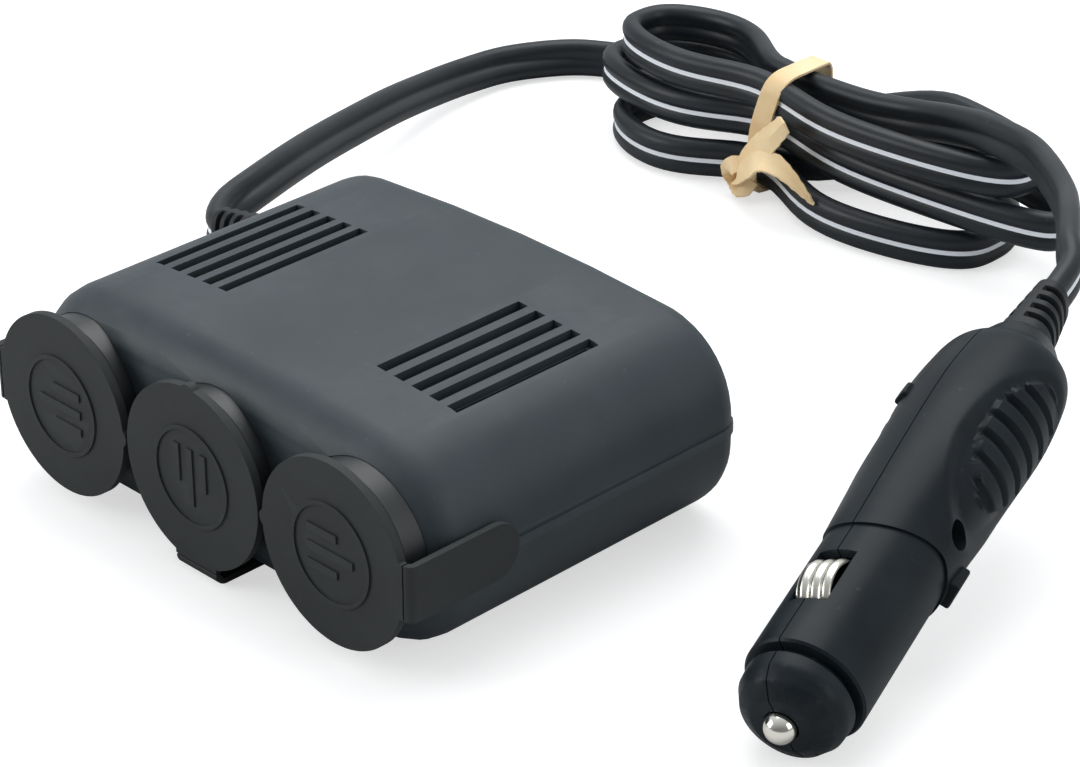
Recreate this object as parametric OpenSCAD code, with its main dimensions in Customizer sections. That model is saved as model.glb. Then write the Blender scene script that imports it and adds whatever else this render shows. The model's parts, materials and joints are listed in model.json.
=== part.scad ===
// Three-way car power socket splitter with capped sockets, a flat cord tied in a hank and a plug.
// The origin is below the middle of the housing, on the surface that it stands on.
// Front, with the sockets, is -Y. The cord leaves the left side, -X.

/* [Housing] */
// Room beside an outer cap, to the end of the housing
side_room = 0.45; // [0.3:0.05:3]
// Room under a cap, to the surface that the housing stands on
under_room = 2.85; // [2.6:0.05:5]
// Room over a cap, to the middle of the crowned top
over_room = 2.45; // [2:0.05:6]
// Room behind the sockets' floors, to the back of the housing
back_room = 34.9; // [30:0.1:50]
// Drop of the crowned top from its middle to where the end curves begin
crown_drop = 1.3; // [0.4:0.1:2]
// Radius of the upper ends, seen from the front
upper_r = 17.6; // [15:0.2:18]
// Radius of the lower ends, seen from the front
lower_r = 15.6; // [12:0.2:16]
// Rounding between the front wall and the sides
front_r = 8.5; // [5:0.5:10]
// Rounding between the back wall and the sides
back_r = 5.5; // [3:0.5:8]
// Thickness of the shell walls
wall = 2; // [1.6:0.1:2.6]
// Drop of the seam between the two shells below the sockets' centres
seam_drop = 1.9; // [1:0.1:3]
// Height of the raised band along the seam
band_h = 1.7; // [1:0.1:2.5]
// How far the band stands proud
band_proud = 0.35; // [0.2:0.05:0.6]
// Width of the seam
seam_gap = 0.15; // [0.1:0.05:0.3]

/* [Vents] */
// Length of a vent slot
vent_len = 31.8; // [24:0.2:36]
// Width of a vent slot
vent_w = 1.8; // [1.2:0.1:2.4]
// Distance between neighbouring slots
vent_pitch = 4.24; // [3.6:0.02:5]
// Slots in each of the two groups
vent_count = 5; // [3:1:6]
// Distance from the middle of the housing to the middle of a group
vent_x = 28.8; // [24:0.2:32]
// Distance from the front wall to the slots
vent_front = 19.5; // [16:0.5:24]

/* [Sockets] */
// Gap between neighbouring caps
cap_gap = 1.1; // [0.5:0.1:4]
// Bore of a socket, inside its ground sleeve
socket_bore = 21.3; // [21:0.1:21.6]
// Depth of a socket, from its mouth to its closed end
socket_depth = 42; // [38:0.5:46]
// Thickness of a ground sleeve
sleeve_t = 0.4; // [0.3:0.1:0.6]
// Wall of a socket barrel
barrel_t = 2; // [1.4:0.1:2.4]
// How far a mouth ring stands out round its barrel
mouth_lip = 1.45; // [0.8:0.05:2]
// How far the mouth ring stands out of the front wall
mouth_out = 2.4; // [1.5:0.1:3]

/* [Caps] */
// How far a cap's disc stands out round the mouth ring
cap_lip = 2.45; // [1.8:0.05:3]
// Thickness of a cap's disc
cap_t = 1.6; // [1.2:0.1:2]
// How far the step behind the disc stands out round the mouth ring
cap_step_lip = 0.5; // [0.3:0.05:1]
// Thickness of the step behind the disc
cap_step_t = 1.5; // [1:0.1:2]
// Length of the ring that plugs the socket
cap_plug_len = 4.5; // [3:0.1:6]
// Height of the raised pattern on a cap
relief_t = 0.35; // [0.2:0.05:0.5]
// Width of a cap's strap
strap_w = 10.5; // [9:0.5:11]
// Thickness of a cap's strap
strap_t = 1.2; // [0.8:0.1:1.6]
// Length of a strap along the housing, behind its front wall
strap_len = 18.5; // [17.5:0.5:22]

/* [Cord] */
// Width of the flat two-core cord
cord_w = 8.2; // [7.6:0.1:8.4]
// Thickness of the cord
cord_t = 4.2; // [3.8:0.1:4.4]
// Distance from the housing's back wall to the cord's exit
exit_from_back = 13; // [11:0.5:16]
// Length of the strain relief outside the housing
relief_len = 22.6; // [20:0.1:26]

/* [Plug] */
// Diameter of the plug's barrel
plug_d = 21; // [20.7:0.1:21.2]
// Length from the tip to the step of the handle
plug_insert = 43.5; // [41:0.5:46]
// Length of the handle
handle_len = 58; // [54:0.5:62]
// Width of the handle where the thumb and finger hold it
handle_w = 27; // [25:0.5:29]
// Diameter of the centre contact's round tip
tip_d = 5.6; // [5:0.1:6]
// Travel of the centre contact
pin_travel = 2.2; // [1.5:0.1:2.5]
// Diameter of the glass fuse
fuse_d = 5.2; // [5:0.1:6.35]
// Length of the glass fuse
fuse_len = 20; // [18:0.5:22]
// Width of a side contact
contact_w = 6.5; // [5:0.1:7]
// How far a side contact stands out of the barrel
contact_out = 1.3; // [0.8:0.1:1.8]
// Wall of the plug's shells
plug_wall = 1.7; // [1.4:0.1:2]
// Length of the ribbed boot behind the handle
boot_len = 14.5; // [12:0.5:20]

/* [Hidden] */

over = 1;
fit = 0.1;
soft_gap = 0.3;
quarter = 90;
half = 180;

// Sizes that follow from the sockets' bore
sleeve_r = socket_bore / 2 + sleeve_t;
barrel_r = sleeve_r + barrel_t;
mouth_d = 2 * (barrel_r + mouth_lip);
cap_d = mouth_d + 2 * cap_lip;
cap_step_d = mouth_d + 2 * cap_step_lip;
socket_pitch = cap_d + cap_gap;
socket_z = under_room + cap_d / 2;
body_w = 2 * (socket_pitch + cap_d / 2 + side_room);
body_h = socket_z + cap_d / 2 + over_room;
seam_z = socket_z - seam_drop;

// Housing
body_d = socket_depth - mouth_out + back_room;
total_d = body_d + mouth_out + soft_gap + cap_step_t + cap_t + relief_t + band_proud;
front_y = total_d / 2 - band_proud - body_d;
back_y = front_y + body_d;
shoulder_z = body_h - crown_drop;
upper_x = body_w / 2 - upper_r;
lower_x = body_w / 2 - lower_r;
seam_top = seam_z + seam_gap;
band_top = seam_top + band_h;
round_faces = 44;
rim_steps = 5;
crown_shares = [-1, -0.5, 0, 0.5, 1];
vent_cut = 4;

// Sockets
mouth_y = front_y - mouth_out;
ring_len = 7.9;
ring_back = mouth_y + ring_len;
cup_y = mouth_y + socket_depth;
barrel_end = 2.5;
mouth_chamfer = 0.8;
collar_out = 1.2;
collar_r = barrel_r + collar_out;
collar_t = 1.6;

// Walls across the housing that hold the barrels
rib_t = 1.8;
rib_in = 10;
rib_before_end = 8.1;
rib_front = front_y + rib_in;
rib_back = cup_y + barrel_end - rib_before_end;

// Contacts
contact_head_r = 4;
contact_head_t = 1.2;
contact_stem_r = 1.6;
contact_tail = 1.4;
contact_tail_r = 2.4;
tab_w = 4;
bus_t = 0.8;
bus_h = 7;
bus_reach = 2;
bus_lip = 2.4;
bus_apart = 5;
bus_half = socket_pitch + bus_reach;
bus_y = cup_y + barrel_end;
negative_z = socket_z + sleeve_r - sleeve_t / 2;
negative_bus_z = negative_z + bus_lip - bus_h / 2;
negative_bus_y = bus_y + bus_apart;

// Caps
cap_y = mouth_y - soft_gap - cap_step_t - cap_t;
cap_plug_r = socket_bore / 2 - soft_gap;
cap_plug_taper = 0.8;
cap_plug_tip_r = cap_plug_r - cap_plug_taper;
cap_plug_wall = 1.6;
cap_lug = 0.1;
hinge_gap = 0.15;
cap_hinge_r = cap_d / 2 + cap_lug;
pull_r = 1.8;
pull_out = 0.7;
relief_ring_r = 9.5;
relief_ring_w = 0.8;
relief_bar_len = 11;
relief_bar_w = 1.5;
relief_bar_pitch = 3.4;
relief_bar_share = 0.35;

// Straps and their studs
strap_air = 0.2;
side_run = body_w / 2 - socket_pitch + strap_air;
under_run = socket_z - strap_t - strap_air;
strap_end_y = front_y + strap_len;
strap_bed = 1.6;
strap_run_gap = 0.2;
stud_in = 14.2;
stud_y = front_y + stud_in;
stud_r = 1.2;
stud_head_r = 1.9;
stud_head_t = 0.8;
side_stud_len = 2.4;
under_stud_len = 1.8;
pad_in = 5;
pad_front = front_y + pad_in;
pad_top = 2.9;

// Housing screws
boss_r = 3.2;
post_r = 4.2;
post_foot = 1.2;
screw_r = 1.4;
screw_head_r = 2.6;
screw_head_h = 2;
screw_recess = 6;
screw_len = 20;
screw_slot_len = 3.4;
screw_slot_w = 0.8;
pillar_x = socket_pitch / 2;
post_bite = 0.4;
corner_in = 22.4;
corner_from_back = 6.5;
pillar_y = rib_front + rib_t + post_r - post_bite;
corner_x = body_w / 2 - corner_in;
corner_y = back_y - corner_from_back;
screw_sites = [[-pillar_x, pillar_y], [pillar_x, pillar_y], [-corner_x, corner_y], [corner_x, corner_y]];

// Cord exit
exit_x = -body_w / 2;
exit_y = back_y - exit_from_back;
exit_z = socket_z;
relief_root_w = 12.5;
relief_root_t = 8.6;
relief_tip_w = 10.4;
relief_tip_t = 6.4;
relief_neck_w = 11;
relief_neck_t = 7;
relief_sink = 1.2;
relief_flange_in = 3.4;
relief_flange_t = 2;
relief_flange_lip = 0.8;
relief_slots = 5;
relief_slot_depth = 1;
relief_clear = 0.1;
cord_inside = 16;
clamp_in = 13;
clamp_x = exit_x + clamp_in;
clamp_w = 6;
clamp_t = 2.4;
clamp_reach = 7.6;
clamp_screw_off = 5.2;
clamp_screw_r = 1;
clamp_head_r = 2;
clamp_head_h = 1.6;
clamp_post_r = 2.4;
clamp_grip = 8;

// Leads inside the housing, from the cord's cores to the bus bars
lead_r = 1.3;
lead_sides = 8;
core_z = 2.1;
core_x = exit_x + cord_inside;
lead_straight = 3;
positive_tap_in = 9;
negative_tap_in = 13;
lead_shares = [0.33, 0.67];
positive_start = [core_x + lead_straight, exit_y, exit_z - core_z];
negative_start = [core_x + lead_straight, exit_y, exit_z + core_z];
positive_end = [positive_tap_in - bus_half, bus_y + bus_t, socket_z];
negative_end = [negative_tap_in - bus_half, negative_bus_y + bus_t, negative_z];
positive_route = lead_path(positive_start, positive_end);
negative_route = lead_path(negative_start, negative_end);

function lead_path(from, to) =
    let (bend = to + [0, lead_straight, 0])
    concat([from - [lead_straight, 0, 0], from], [for (share = lead_shares) blend(from, bend, share)], [bend, to]);

// Hank: three loops on each side of a waist, wound from the floor up
waist_x = -35;
hank_y = 149;
waist_reach = 16;
waist_lift = 0.9;
hank_start = 135;
hank_end = -990;
ring_step = 15;
hank_square = 0.75;
climb_share = 6;
floor_gap = 0.1;
level_gap = 0.8;
floor_z = cord_w / 2 + floor_gap;
level_step = cord_w + level_gap;
hank_reach = 72;
climb_power = 1.5;
level_cosine = 0.001;
// Half loops in their order: reach along X as a share of the longest, half widths behind and in front as shares of the cord's thickness
half_loop_shares = [[0.63889, 6.19048, 6.19048], [0.76389, 5.95238, 3.69048], [0.56944, 4.52381, 4.28571], [1, 3.80952, 1.90476],
    [0.65278, 4.04762, 2.85714], [0.875, 3.57143, 2.85714], [0.56944, 3.57143, 2.85714]];
// Half widths at each crossing of the waist, as shares of the cord's thickness
waist_shares = [1.38095, 1.38095, 1.38095, -0.14286, 0.80952, 0.78571, 1.7381, 0.07143];
// Levels at each crossing of the waist
waist_level = [0, 0, 0, 0, 1, 1, 2, 2];

function half_index(t) = t > quarter ? 0 : min(6, 1 + floor((quarter - t) / half));
function blend(a, b, share) = a + (b - a) * share;
function hank_point(t) =
    let (n = half_index(t), loop = half_loop_shares[n], c = cos(t), up = sin(t),
        x = waist_x + hank_reach * loop[0] * (abs(c) < level_cosine ? 0 : c),
        share = n == 0 ? 1 : (quarter - t - half * (n - 1)) / half,
        near = exp(-pow((x - waist_x) / waist_reach, 2)),
        front = up < 0,
        wide = cord_t * (front ? loop[2] : loop[1]),
        waist = cord_t * (share < 0.5 ? waist_shares[n] : waist_shares[n + 1]),
        level = blend(waist_level[n], waist_level[n + 1], pow(min(1, share * climb_share), climb_power)))
    [x, hank_y + sign(up) * pow(abs(up), hank_square) * blend(wide, waist, near),
        floor_z + level_step * level + waist_lift * near];
hank_route = [for (t = [hank_start : -ring_step : hank_end]) hank_point(t)];
hank_in = unit(hank_route[1] - hank_route[0]);
hank_last = hank_route[len(hank_route) - 1];
hank_out = unit(hank_last - hank_route[len(hank_route) - 2]);

// Band round the waist
tie_w = 4;
tie_t = 0.7;
// Corners as shares of the cord's thickness from the hank's middle, and of its width upwards
tie_shares = [[-2.2381, 0.09146], [2.47619, 0.09146], [2.47619, 1.14634], [1.71429, 2.30488], [0.97619, 3.36585], [-2.47619, 3.36585], [-2.47619, 2.26829]];
tie_corners = [for (q = tie_shares) [hank_y + q[0] * cord_t, q[1] * cord_w]];
knot_r = 2.3;
knot_y = 136.7;
knot_z = 7.5;
// Each loose end's lean forward, its lean to the right and its length
knot_tails = [[6, 42, 19], [9, 75, 19.5]];

// Plug place and turn
plug_yaw = 106.4;
plug_pitch = 12.5;
plug_roll = -21;
plug_at = [109.3, -15.8, 8.1];
plug_axis = [cos(plug_yaw) * cos(plug_pitch), sin(plug_yaw) * cos(plug_pitch), sin(plug_pitch)];
plug_end = plug_insert + handle_len;
boot_end = plug_at + plug_axis * (plug_end + boot_len);

// Cord route in mm, chosen by hand along the photographed cord
lead_in_route = concat([[exit_x - relief_len, exit_y, exit_z], [exit_x - relief_len - cord_t, exit_y, exit_z],
    [-84.0, 31.5, 19.7], [-87.5, 38.0, 19.3], [-90.0, 46.0, 18.4],
    [-93.0, 57.0, 16.4], [-96.5, 70.0, 13.4], [-101.0, 86.0, 9.8], [-106.0, 103.0, 6.2], [-110.5, 119.0, 4.4],
    [-113.0, 132.0, 4.2], [-112.0, 144.0, 4.2], [-106.0, 155.0, 4.2], [-99.0, 161.0, 4.2], [-89.0, 165.0, 4.2]], [hank_route[0] - hank_in * cord_w, hank_route[0]]);
lead_out_route = concat([hank_last, hank_last + hank_out * cord_w],
    [[-12.0, 147.8, 23.9], [0.0, 148.4, 25.4], [11.0, 146.6, 28.2], [22.5, 144.0, 30.7],
    [34.0, 140.8, 31.8], [45.0, 134.3, 33.0], [56.0, 125.3, 34.2], [64.5, 115.5, 35.8], [71.0, 106.5, 36.2]],
    [boot_end + plug_axis * cord_w, boot_end]);

// Plug, along its axis from the tip
rim_s = 11.8;
// Shares of the barrel's radius, and of the length to its rim
nose_shares = [[0.49524, 0.25424], [0.7619, 0.38983], [0.88571, 0.59322], [0.90476, 0.83051], [0.78095, 0.83051], [0.78095, 0.9661], [0.9619, 0.9661]];
nose_profile = [for (q = nose_shares) [q[0] * plug_d / 2, q[1] * rim_s]];
nose_s = nose_profile[0][1];
pin_hole_r = 3;
pin_room_r = 4.7;
pin_flange_s = 9;
pin_flange_r = 4.4;
fuse_s = 11;
tip_steps = 8;
fuse_end_len = 4.5;
fuse_end_step = 0.4;
cavity_s = 13.6;
spring_s = fuse_s + fuse_len;
spring_r = 2.1;
spring_wire_r = 0.35;
spring_turns = 6;
spring_rings = 12;
terminal_in = 2.5;
terminal_s = plug_insert - terminal_in;
terminal_t = 2;
terminal_cup = 2.4;
terminal_wall = 0.8;
spring_len = terminal_s - spring_s;
handle_slice = 0.4;
// Shares of the handle's length, and of half its width upwards and sideways
handle_shares = [[0, 0.81, 0.81], [0.28, 0.875, 0.92], [0.6, 0.9, 1], [0.8, 0.815, 0.935], [0.93, 0.64, 0.71], [1, 0.45, 0.48]];
boot_grip = 6;
boot_neck_w = 10;
boot_neck_t = 6.4;
boot_root_w = 11;
boot_root_t = 9.4;
boot_tip_w = 9.9;
boot_tip_t = 6;
boot_slots = 4;
plug_cord_in = 26.5;
plug_cord_s = plug_insert + plug_cord_in;
lug_in = 2.5;
lug_s = plug_insert + lug_in;
lug_turn = 135;
lug_w = 6;
lug_len = 5;
lug_out = 2;
lug_sunk = 2;
grip_in = 22.5;
grip_s = plug_insert + grip_in;
grip_pitch = 4.6;
grip_count = 6;
grip_half = 7;
grip_r = 1.3;
grip_sunk = 0.1;
grip_y = handle_w / 2 - grip_sunk;
plug_screw_in = 6;
plug_screw_s = plug_insert + plug_screw_in;
plug_screw_r = 1.4;
plug_screw_head_r = 2.3;
plug_screw_head_h = 1.6;
plug_screw_seat = 6.6;
plug_screw_grip = 7;
plug_boss_r = 3.6;
window_in = 9.7;
window_s = rim_s + window_in;
window_len = 12;
contact_s = window_s + window_len / 2;
contact_half = 5.6;
contact_t = 0.4;
contact_foot = 3;
contact_root = 7.6;
contact_travel = 1.2;
contact_rise = plug_d / 2 + contact_out - contact_root;
contact_bow_r = (contact_half * contact_half + contact_rise * contact_rise) / (2 * contact_rise);
strap_ring_in = 2.5;
strap_ring_s = window_s + window_len + strap_ring_in;
strap_ring_w = 4;
strap_ring_r = contact_root - contact_travel - fit;
plug_lead_r = 1;
plug_core_z = 2;
positive_tip_z = 3;
negative_tip_z = -(strap_ring_r - contact_t / 2);
lead_over_z = plug_boss_r + 2 * plug_lead_r;
// Places along the plug, as shares of the way from the cord to the screw, and how far out of the cord's core
plug_lead_shares = [[0, 0], [0.4, 0.72], [0.75, 0.97], [1, 1]];
plug_positive_route = concat(plug_lead_path(plug_core_z, 1),
    [[plug_screw_s - lead_over_z, 0, positive_tip_z], [terminal_s + terminal_t, 0, positive_tip_z]]);
plug_negative_route = concat(plug_lead_path(plug_core_z, -1),
    [[plug_insert, 0, negative_tip_z], [strap_ring_s + strap_ring_w, 0, negative_tip_z]]);

function plug_lead_path(core, side) =
    let (from = plug_cord_s - lead_straight)
    concat([[plug_cord_s, 0, side * core]],
        [for (q = plug_lead_shares) [blend(from, plug_screw_s, q[0]), 0, side * blend(core, lead_over_z, q[1])]]);

spring_route = [for (i = [0 : spring_turns * spring_rings]) let (a = i * 2 * half / spring_rings)
    [spring_r * cos(a), spring_r * sin(a), spring_wire_r + (spring_len - 2 * spring_wire_r) * i / (spring_turns * spring_rings)]];
spring_section = [for (j = [0 : 5]) [cos(j * half / 3), sin(j * half / 3)] * spring_wire_r];

function path_length(path, i = 0) = i >= len(path) - 1 ? 0 : norm(path[i + 1] - path[i]) + path_length(path, i + 1);

module at_plug() {
    translate(plug_at) rotate([0, -plug_pitch, plug_yaw]) children();
}

// Sweep of the flat cord's section along a route, closed at both ends
function unit(v) = v / norm(v);
function tangent(path, i) = unit(path[min(i + 1, len(path) - 1)] - path[max(i - 1, 0)]);
function side_of(t) = unit(cross(t, [0, 0, 1]));
function ring_at(path, i, section) =
    let (t = tangent(path, i), side = side_of(t), up = cross(side, t))
    [for (q = section) path[i] + side * q[0] + up * q[1]];
function sweep_points(path, section) = [for (i = [0 : len(path) - 1]) each ring_at(path, i, section)];
function sweep_faces(count, sides) = concat(
    [for (i = [0 : count - 2], j = [0 : sides - 1]) let (k = (j + 1) % sides)
        each [[i * sides + j, i * sides + k, (i + 1) * sides + k], [i * sides + j, (i + 1) * sides + k, (i + 1) * sides + j]]],
    [for (j = [1 : sides - 2]) [0, j + 1, j]],
    [for (j = [1 : sides - 2]) let (last = (count - 1) * sides) [last, last + j, last + j + 1]]);

module sweep(path, section) {
    polyhedron(points = sweep_points(path, section), faces = sweep_faces(len(path), len(section)), convexity = 10);
}

// Sections, across by up, listed the way round that turns faces outwards
core_share = 0.55;
edge_share = 0.5;
flat_section = [for (q = [[1, -core_share], [1, core_share], [edge_share, 1], [-edge_share, 1],
    [-1, core_share], [-1, -core_share], [-edge_share, -1], [edge_share, -1]]) [q[0] * cord_t / 2, q[1] * cord_w / 2]];
hank_section = [for (q = [[1, -core_share], [1, core_share], [0, 1], [-1, core_share], [-1, -core_share], [0, -1]])
    [q[0] * cord_t / 2, q[1] * cord_w / 2]];
plug_lead_section = [for (j = [0 : lead_sides - 1]) [cos(j * 2 * half / lead_sides), sin(j * 2 * half / lead_sides)] * plug_lead_r];
lead_section = [for (j = [0 : lead_sides - 1]) [cos(j * 2 * half / lead_sides), sin(j * 2 * half / lead_sides)] * lead_r];

// Rounded disc about the Y axis, one of the forms that the housing's hull is stretched over
module rim_disc(r, y0, y1, fr, br) {
    rotate([-quarter, 0, 0]) rotate_extrude($fn = round_faces)
        polygon(concat(
            [[0, y0]],
            [for (i = [0 : rim_steps]) let (a = quarter * i / rim_steps) [r - fr + fr * sin(a), y0 + fr - fr * cos(a)]],
            [for (i = [0 : rim_steps]) let (a = quarter * i / rim_steps) [r - br + br * cos(a), y1 - br + br * sin(a)]],
            [[0, y1]]));
}

function crown_z(x) = body_h - crown_drop * pow(x / upper_x, 2);

// Housing's outer form, moved inwards by inset
module body_form(inset = 0) {
    y0 = front_y + inset;
    y1 = back_y - inset;
    hull() {
        for (share = crown_shares)
            translate([share * upper_x, 0, crown_z(share * upper_x) - upper_r])
                rim_disc(upper_r - inset, y0, y1, front_r - inset, back_r - inset);
        for (side = [-1, 1])
            translate([side * lower_x, 0, lower_r])
                rim_disc(lower_r - inset, y0, y1, front_r - inset, back_r - inset);
    }
}

module slab(z0, z1) {
    translate([-body_w, -body_d, z0]) cube([2 * body_w, 2 * body_d, z1 - z0]);
}

module along_y(x, z, r, y0, y1) {
    translate([x, y0, z]) rotate([-quarter, 0, 0]) cylinder(r = r, h = y1 - y0, $fn = 64);
}

// Cross walls, cut to the middle of the housing's wall
module barrel_ribs() {
    for (y = [rib_front, rib_back]) difference() {
        translate([0, y + rib_t, 0]) rotate([quarter, 0, 0]) linear_extrude(rib_t) hull() {
            for (share = crown_shares) translate([share * upper_x, crown_z(share * upper_x) - upper_r]) circle(r = upper_r - wall / 2, $fn = 32);
            for (side = [-1, 1]) translate([side * lower_x, lower_r]) circle(r = lower_r - wall / 2, $fn = 32);
        }
        for (i = [-1 : 1]) along_y(i * socket_pitch, socket_z, barrel_r + fit, y - over, y + rib_t + over);
    }
}

module mouth_holes() {
    for (i = [-1 : 1]) along_y(i * socket_pitch, socket_z, mouth_d / 2 + fit, front_y - over, front_y + front_r);
}

module relief_hole() {
    translate([exit_x - over, exit_y, exit_z]) rotate([0, quarter, 0]) {
        linear_extrude(over + relief_sink) oval(relief_root_w + 2 * fit, relief_root_t + 2 * fit);
        linear_extrude(over + relief_flange_in) oval(relief_neck_w + 2 * fit, relief_neck_t + 2 * fit);
    }
}

// Flat-sided oval, long along X
module oval(w, t) {
    for (side = [-1, 1]) translate([side * (w - t) / 2, 0]) circle(d = t, $fn = 48);
    square([w - t, t], center = true);
}

module vents() {
    for (side = [-1, 1], i = [0 : vent_count - 1])
        translate([side * vent_x + (i - (vent_count - 1) / 2) * vent_pitch - vent_w / 2, front_y + vent_front, shoulder_z - vent_cut])
            cube([vent_w, vent_len, 2 * vent_cut]);
}

module strap_stud_holes() {
    for (side = [-1, 1]) translate([side * (body_w / 2 + over), stud_y, socket_z]) rotate([0, -side * quarter, 0])
        cylinder(r = stud_r + fit, h = wall + 2 * over, $fn = 32);
}

module upper_shell() color("#42484e") {
    difference() {
        union() {
            difference() {
                intersection() {
                    body_form();
                    slab(seam_top, body_h + over);
                }
                body_form(wall);
            }
            intersection() {
                body_form(-band_proud);
                slab(seam_top, band_top);
                difference() {
                    translate([-body_w, strap_end_y + soft_gap, 0]) cube([2 * body_w, body_d, body_h]);
                    body_form(wall);
                }
            }
            intersection() {
                barrel_ribs();
                slab(seam_top, body_h);
            }
            for (s = screw_sites) translate([s[0], s[1], seam_top]) cylinder(r = boss_r, h = crown_z(s[0]) - wall / 2 - seam_top, $fn = 40);
        }
        mouth_holes();
        vents();
        relief_hole();
        strap_stud_holes();
        for (s = screw_sites) translate([s[0], s[1], seam_top - over])
            cylinder(r = screw_r, h = screw_recess + screw_len + 2 * over - seam_top, $fn = 32);
    }
}

module lower_shell() color("#3a4046") {
    difference() {
        union() {
            difference() {
                intersection() {
                    body_form();
                    slab(-over, seam_z);
                }
                body_form(wall);
            }
            intersection() {
                barrel_ribs();
                slab(0, seam_z);
            }
            for (s = screw_sites) translate([s[0], s[1], post_foot]) cylinder(r = post_r, h = seam_z - post_foot, $fn = 40);
            translate([-strap_w / 2 - wall, pad_front, post_foot])
                cube([strap_w + 2 * wall, strap_end_y + wall - pad_front, pad_top - post_foot]);
            for (side = [-1, 1]) translate([clamp_x, exit_y + side * clamp_screw_off, post_foot])
                cylinder(r = clamp_post_r, h = exit_z + cord_w / 2 - post_foot, $fn = 32);
            translate([clamp_x - clamp_w / 2, exit_y - cord_t / 2, post_foot])
                cube([clamp_w, cord_t, exit_z - cord_w / 2 - post_foot - fit]);
        }
        mouth_holes();
        relief_hole();
        for (s = screw_sites) translate([s[0], s[1], -over]) {
            cylinder(r = screw_head_r + fit, h = screw_recess + over, $fn = 40);
            cylinder(r = screw_r + fit, h = seam_z + 2 * over, $fn = 32);
        }
        translate([0, strap_end_y - strap_w / 2, -over]) linear_extrude(over + strap_bed) {
            circle(r = strap_w / 2 + strap_run_gap, $fn = 48);
            translate([-strap_w / 2 - strap_run_gap, -strap_len]) square([strap_w + 2 * strap_run_gap, strap_len]);
        }
        translate([0, stud_y, -over]) cylinder(r = stud_r + fit, h = over + 3 * wall, $fn = 32);
        for (side = [-1, 1]) translate([clamp_x, exit_y + side * clamp_screw_off, exit_z + cord_w / 2 - clamp_grip])
            cylinder(r = clamp_screw_r, h = clamp_grip + over, $fn = 24);
    }
}

module housing_screws() color("silver") {
    for (s = screw_sites) translate([s[0], s[1], screw_recess - screw_head_h]) difference() {
        union() {
            cylinder(r = screw_head_r, h = screw_head_h, $fn = 40);
            translate([0, 0, screw_head_h]) cylinder(r = screw_r - fit, h = screw_len, $fn = 32);
        }
        translate([0, 0, -over]) for (turn = [0, quarter]) rotate([0, 0, turn])
            translate([-screw_slot_len / 2, -screw_slot_w / 2, 0]) cube([screw_slot_len, screw_slot_w, over + screw_slot_w]);
    }
}

// Sockets
module socket_barrel(i) color("#26292c") translate([i * socket_pitch, 0, socket_z]) difference() {
    union() {
        along_y(0, 0, barrel_r, mouth_y, cup_y + barrel_end);
        along_y(0, 0, mouth_d / 2, mouth_y, ring_back);
        along_y(0, 0, collar_r, rib_front - collar_t - fit, rib_front - fit);
    }
    along_y(0, 0, sleeve_r, mouth_y - over, cup_y);
    along_y(0, 0, contact_stem_r + fit / 2, cup_y - over, cup_y + barrel_end + over);
    translate([-tab_w / 2 - fit, cup_y - over, sleeve_r - sleeve_t - 2 * fit]) cube([tab_w + 2 * fit, barrel_end + 2 * over, sleeve_t + 4 * fit]);
}

module ground_sleeve(i) color("#c9c6bf") translate([i * socket_pitch, 0, socket_z]) {
    difference() {
        along_y(0, 0, sleeve_r, mouth_y + mouth_chamfer, cup_y);
        along_y(0, 0, socket_bore / 2, mouth_y, cup_y + over);
    }
    translate([-tab_w / 2, cup_y - sleeve_t, sleeve_r - sleeve_t]) cube([tab_w, negative_bus_y - cup_y + sleeve_t, sleeve_t]);
}

module centre_contact(i) color("#d8c27a") translate([i * socket_pitch, 0, socket_z]) {
    along_y(0, 0, contact_head_r, cup_y - contact_head_t, cup_y);
    along_y(0, 0, contact_stem_r, cup_y - contact_head_t, bus_y + bus_t + contact_tail);
    along_y(0, 0, contact_tail_r, bus_y + bus_t, bus_y + bus_t + contact_tail);
}

module positive_bus_bar() color("#b98a4a") difference() {
    translate([-bus_half, bus_y, socket_z - bus_h / 2]) cube([2 * bus_half, bus_t, bus_h]);
    for (i = [-1 : 1]) along_y(i * socket_pitch, socket_z, contact_stem_r + fit / 2, bus_y - over, bus_y + bus_t + over);
}

module negative_bus_bar() color("#b9b6ae") translate([-bus_half, negative_bus_y, negative_bus_z - bus_h / 2])
    cube([2 * bus_half, bus_t, bus_h]);

module positive_lead() color("#a02420") sweep(positive_route, lead_section);

module negative_lead() color("#1b1d1f") sweep(negative_route, lead_section);

// Caps, built for a socket centred on the Y axis with the strap towards +X
module cap_form() {
    along_y(0, 0, cap_d / 2, cap_y, cap_y + cap_t);
    along_y(0, 0, cap_step_d / 2, cap_y + cap_t, cap_y + cap_t + cap_step_t);
    translate([0, cap_y + cap_t + cap_step_t, 0]) rotate([-quarter, 0, 0]) difference() {
        cylinder(r1 = cap_plug_r, r2 = cap_plug_tip_r, h = cap_plug_len, $fn = 64);
        translate([0, 0, -over]) cylinder(r = cap_plug_tip_r - cap_plug_wall, h = cap_plug_len + 2 * over, $fn = 64);
    }
    translate([cap_d / 4, cap_y, -strap_w / 2]) cube([cap_hinge_r - hinge_gap - cap_d / 4, strap_t, strap_w]);
    translate([pull_r - cap_d / 2 - pull_out, cap_y, 0]) rotate([-quarter, 0, 0]) cylinder(r = pull_r, h = cap_t, $fn = 32);
    cap_relief();
}

// Plain raised pattern: a ring and three bars
module cap_relief() {
    difference() {
        along_y(0, 0, relief_ring_r, cap_y - relief_t, cap_y + relief_t);
        along_y(0, 0, relief_ring_r - relief_ring_w, cap_y - relief_t - over, cap_y + relief_t + over);
    }
    for (i = [-1 : 1]) translate([-relief_bar_len / 2, cap_y - relief_t, i * relief_bar_pitch - relief_bar_w / 2])
        cube([relief_bar_len * (1 - abs(i) * relief_bar_share), 2 * relief_t, relief_bar_w]);
}

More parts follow.
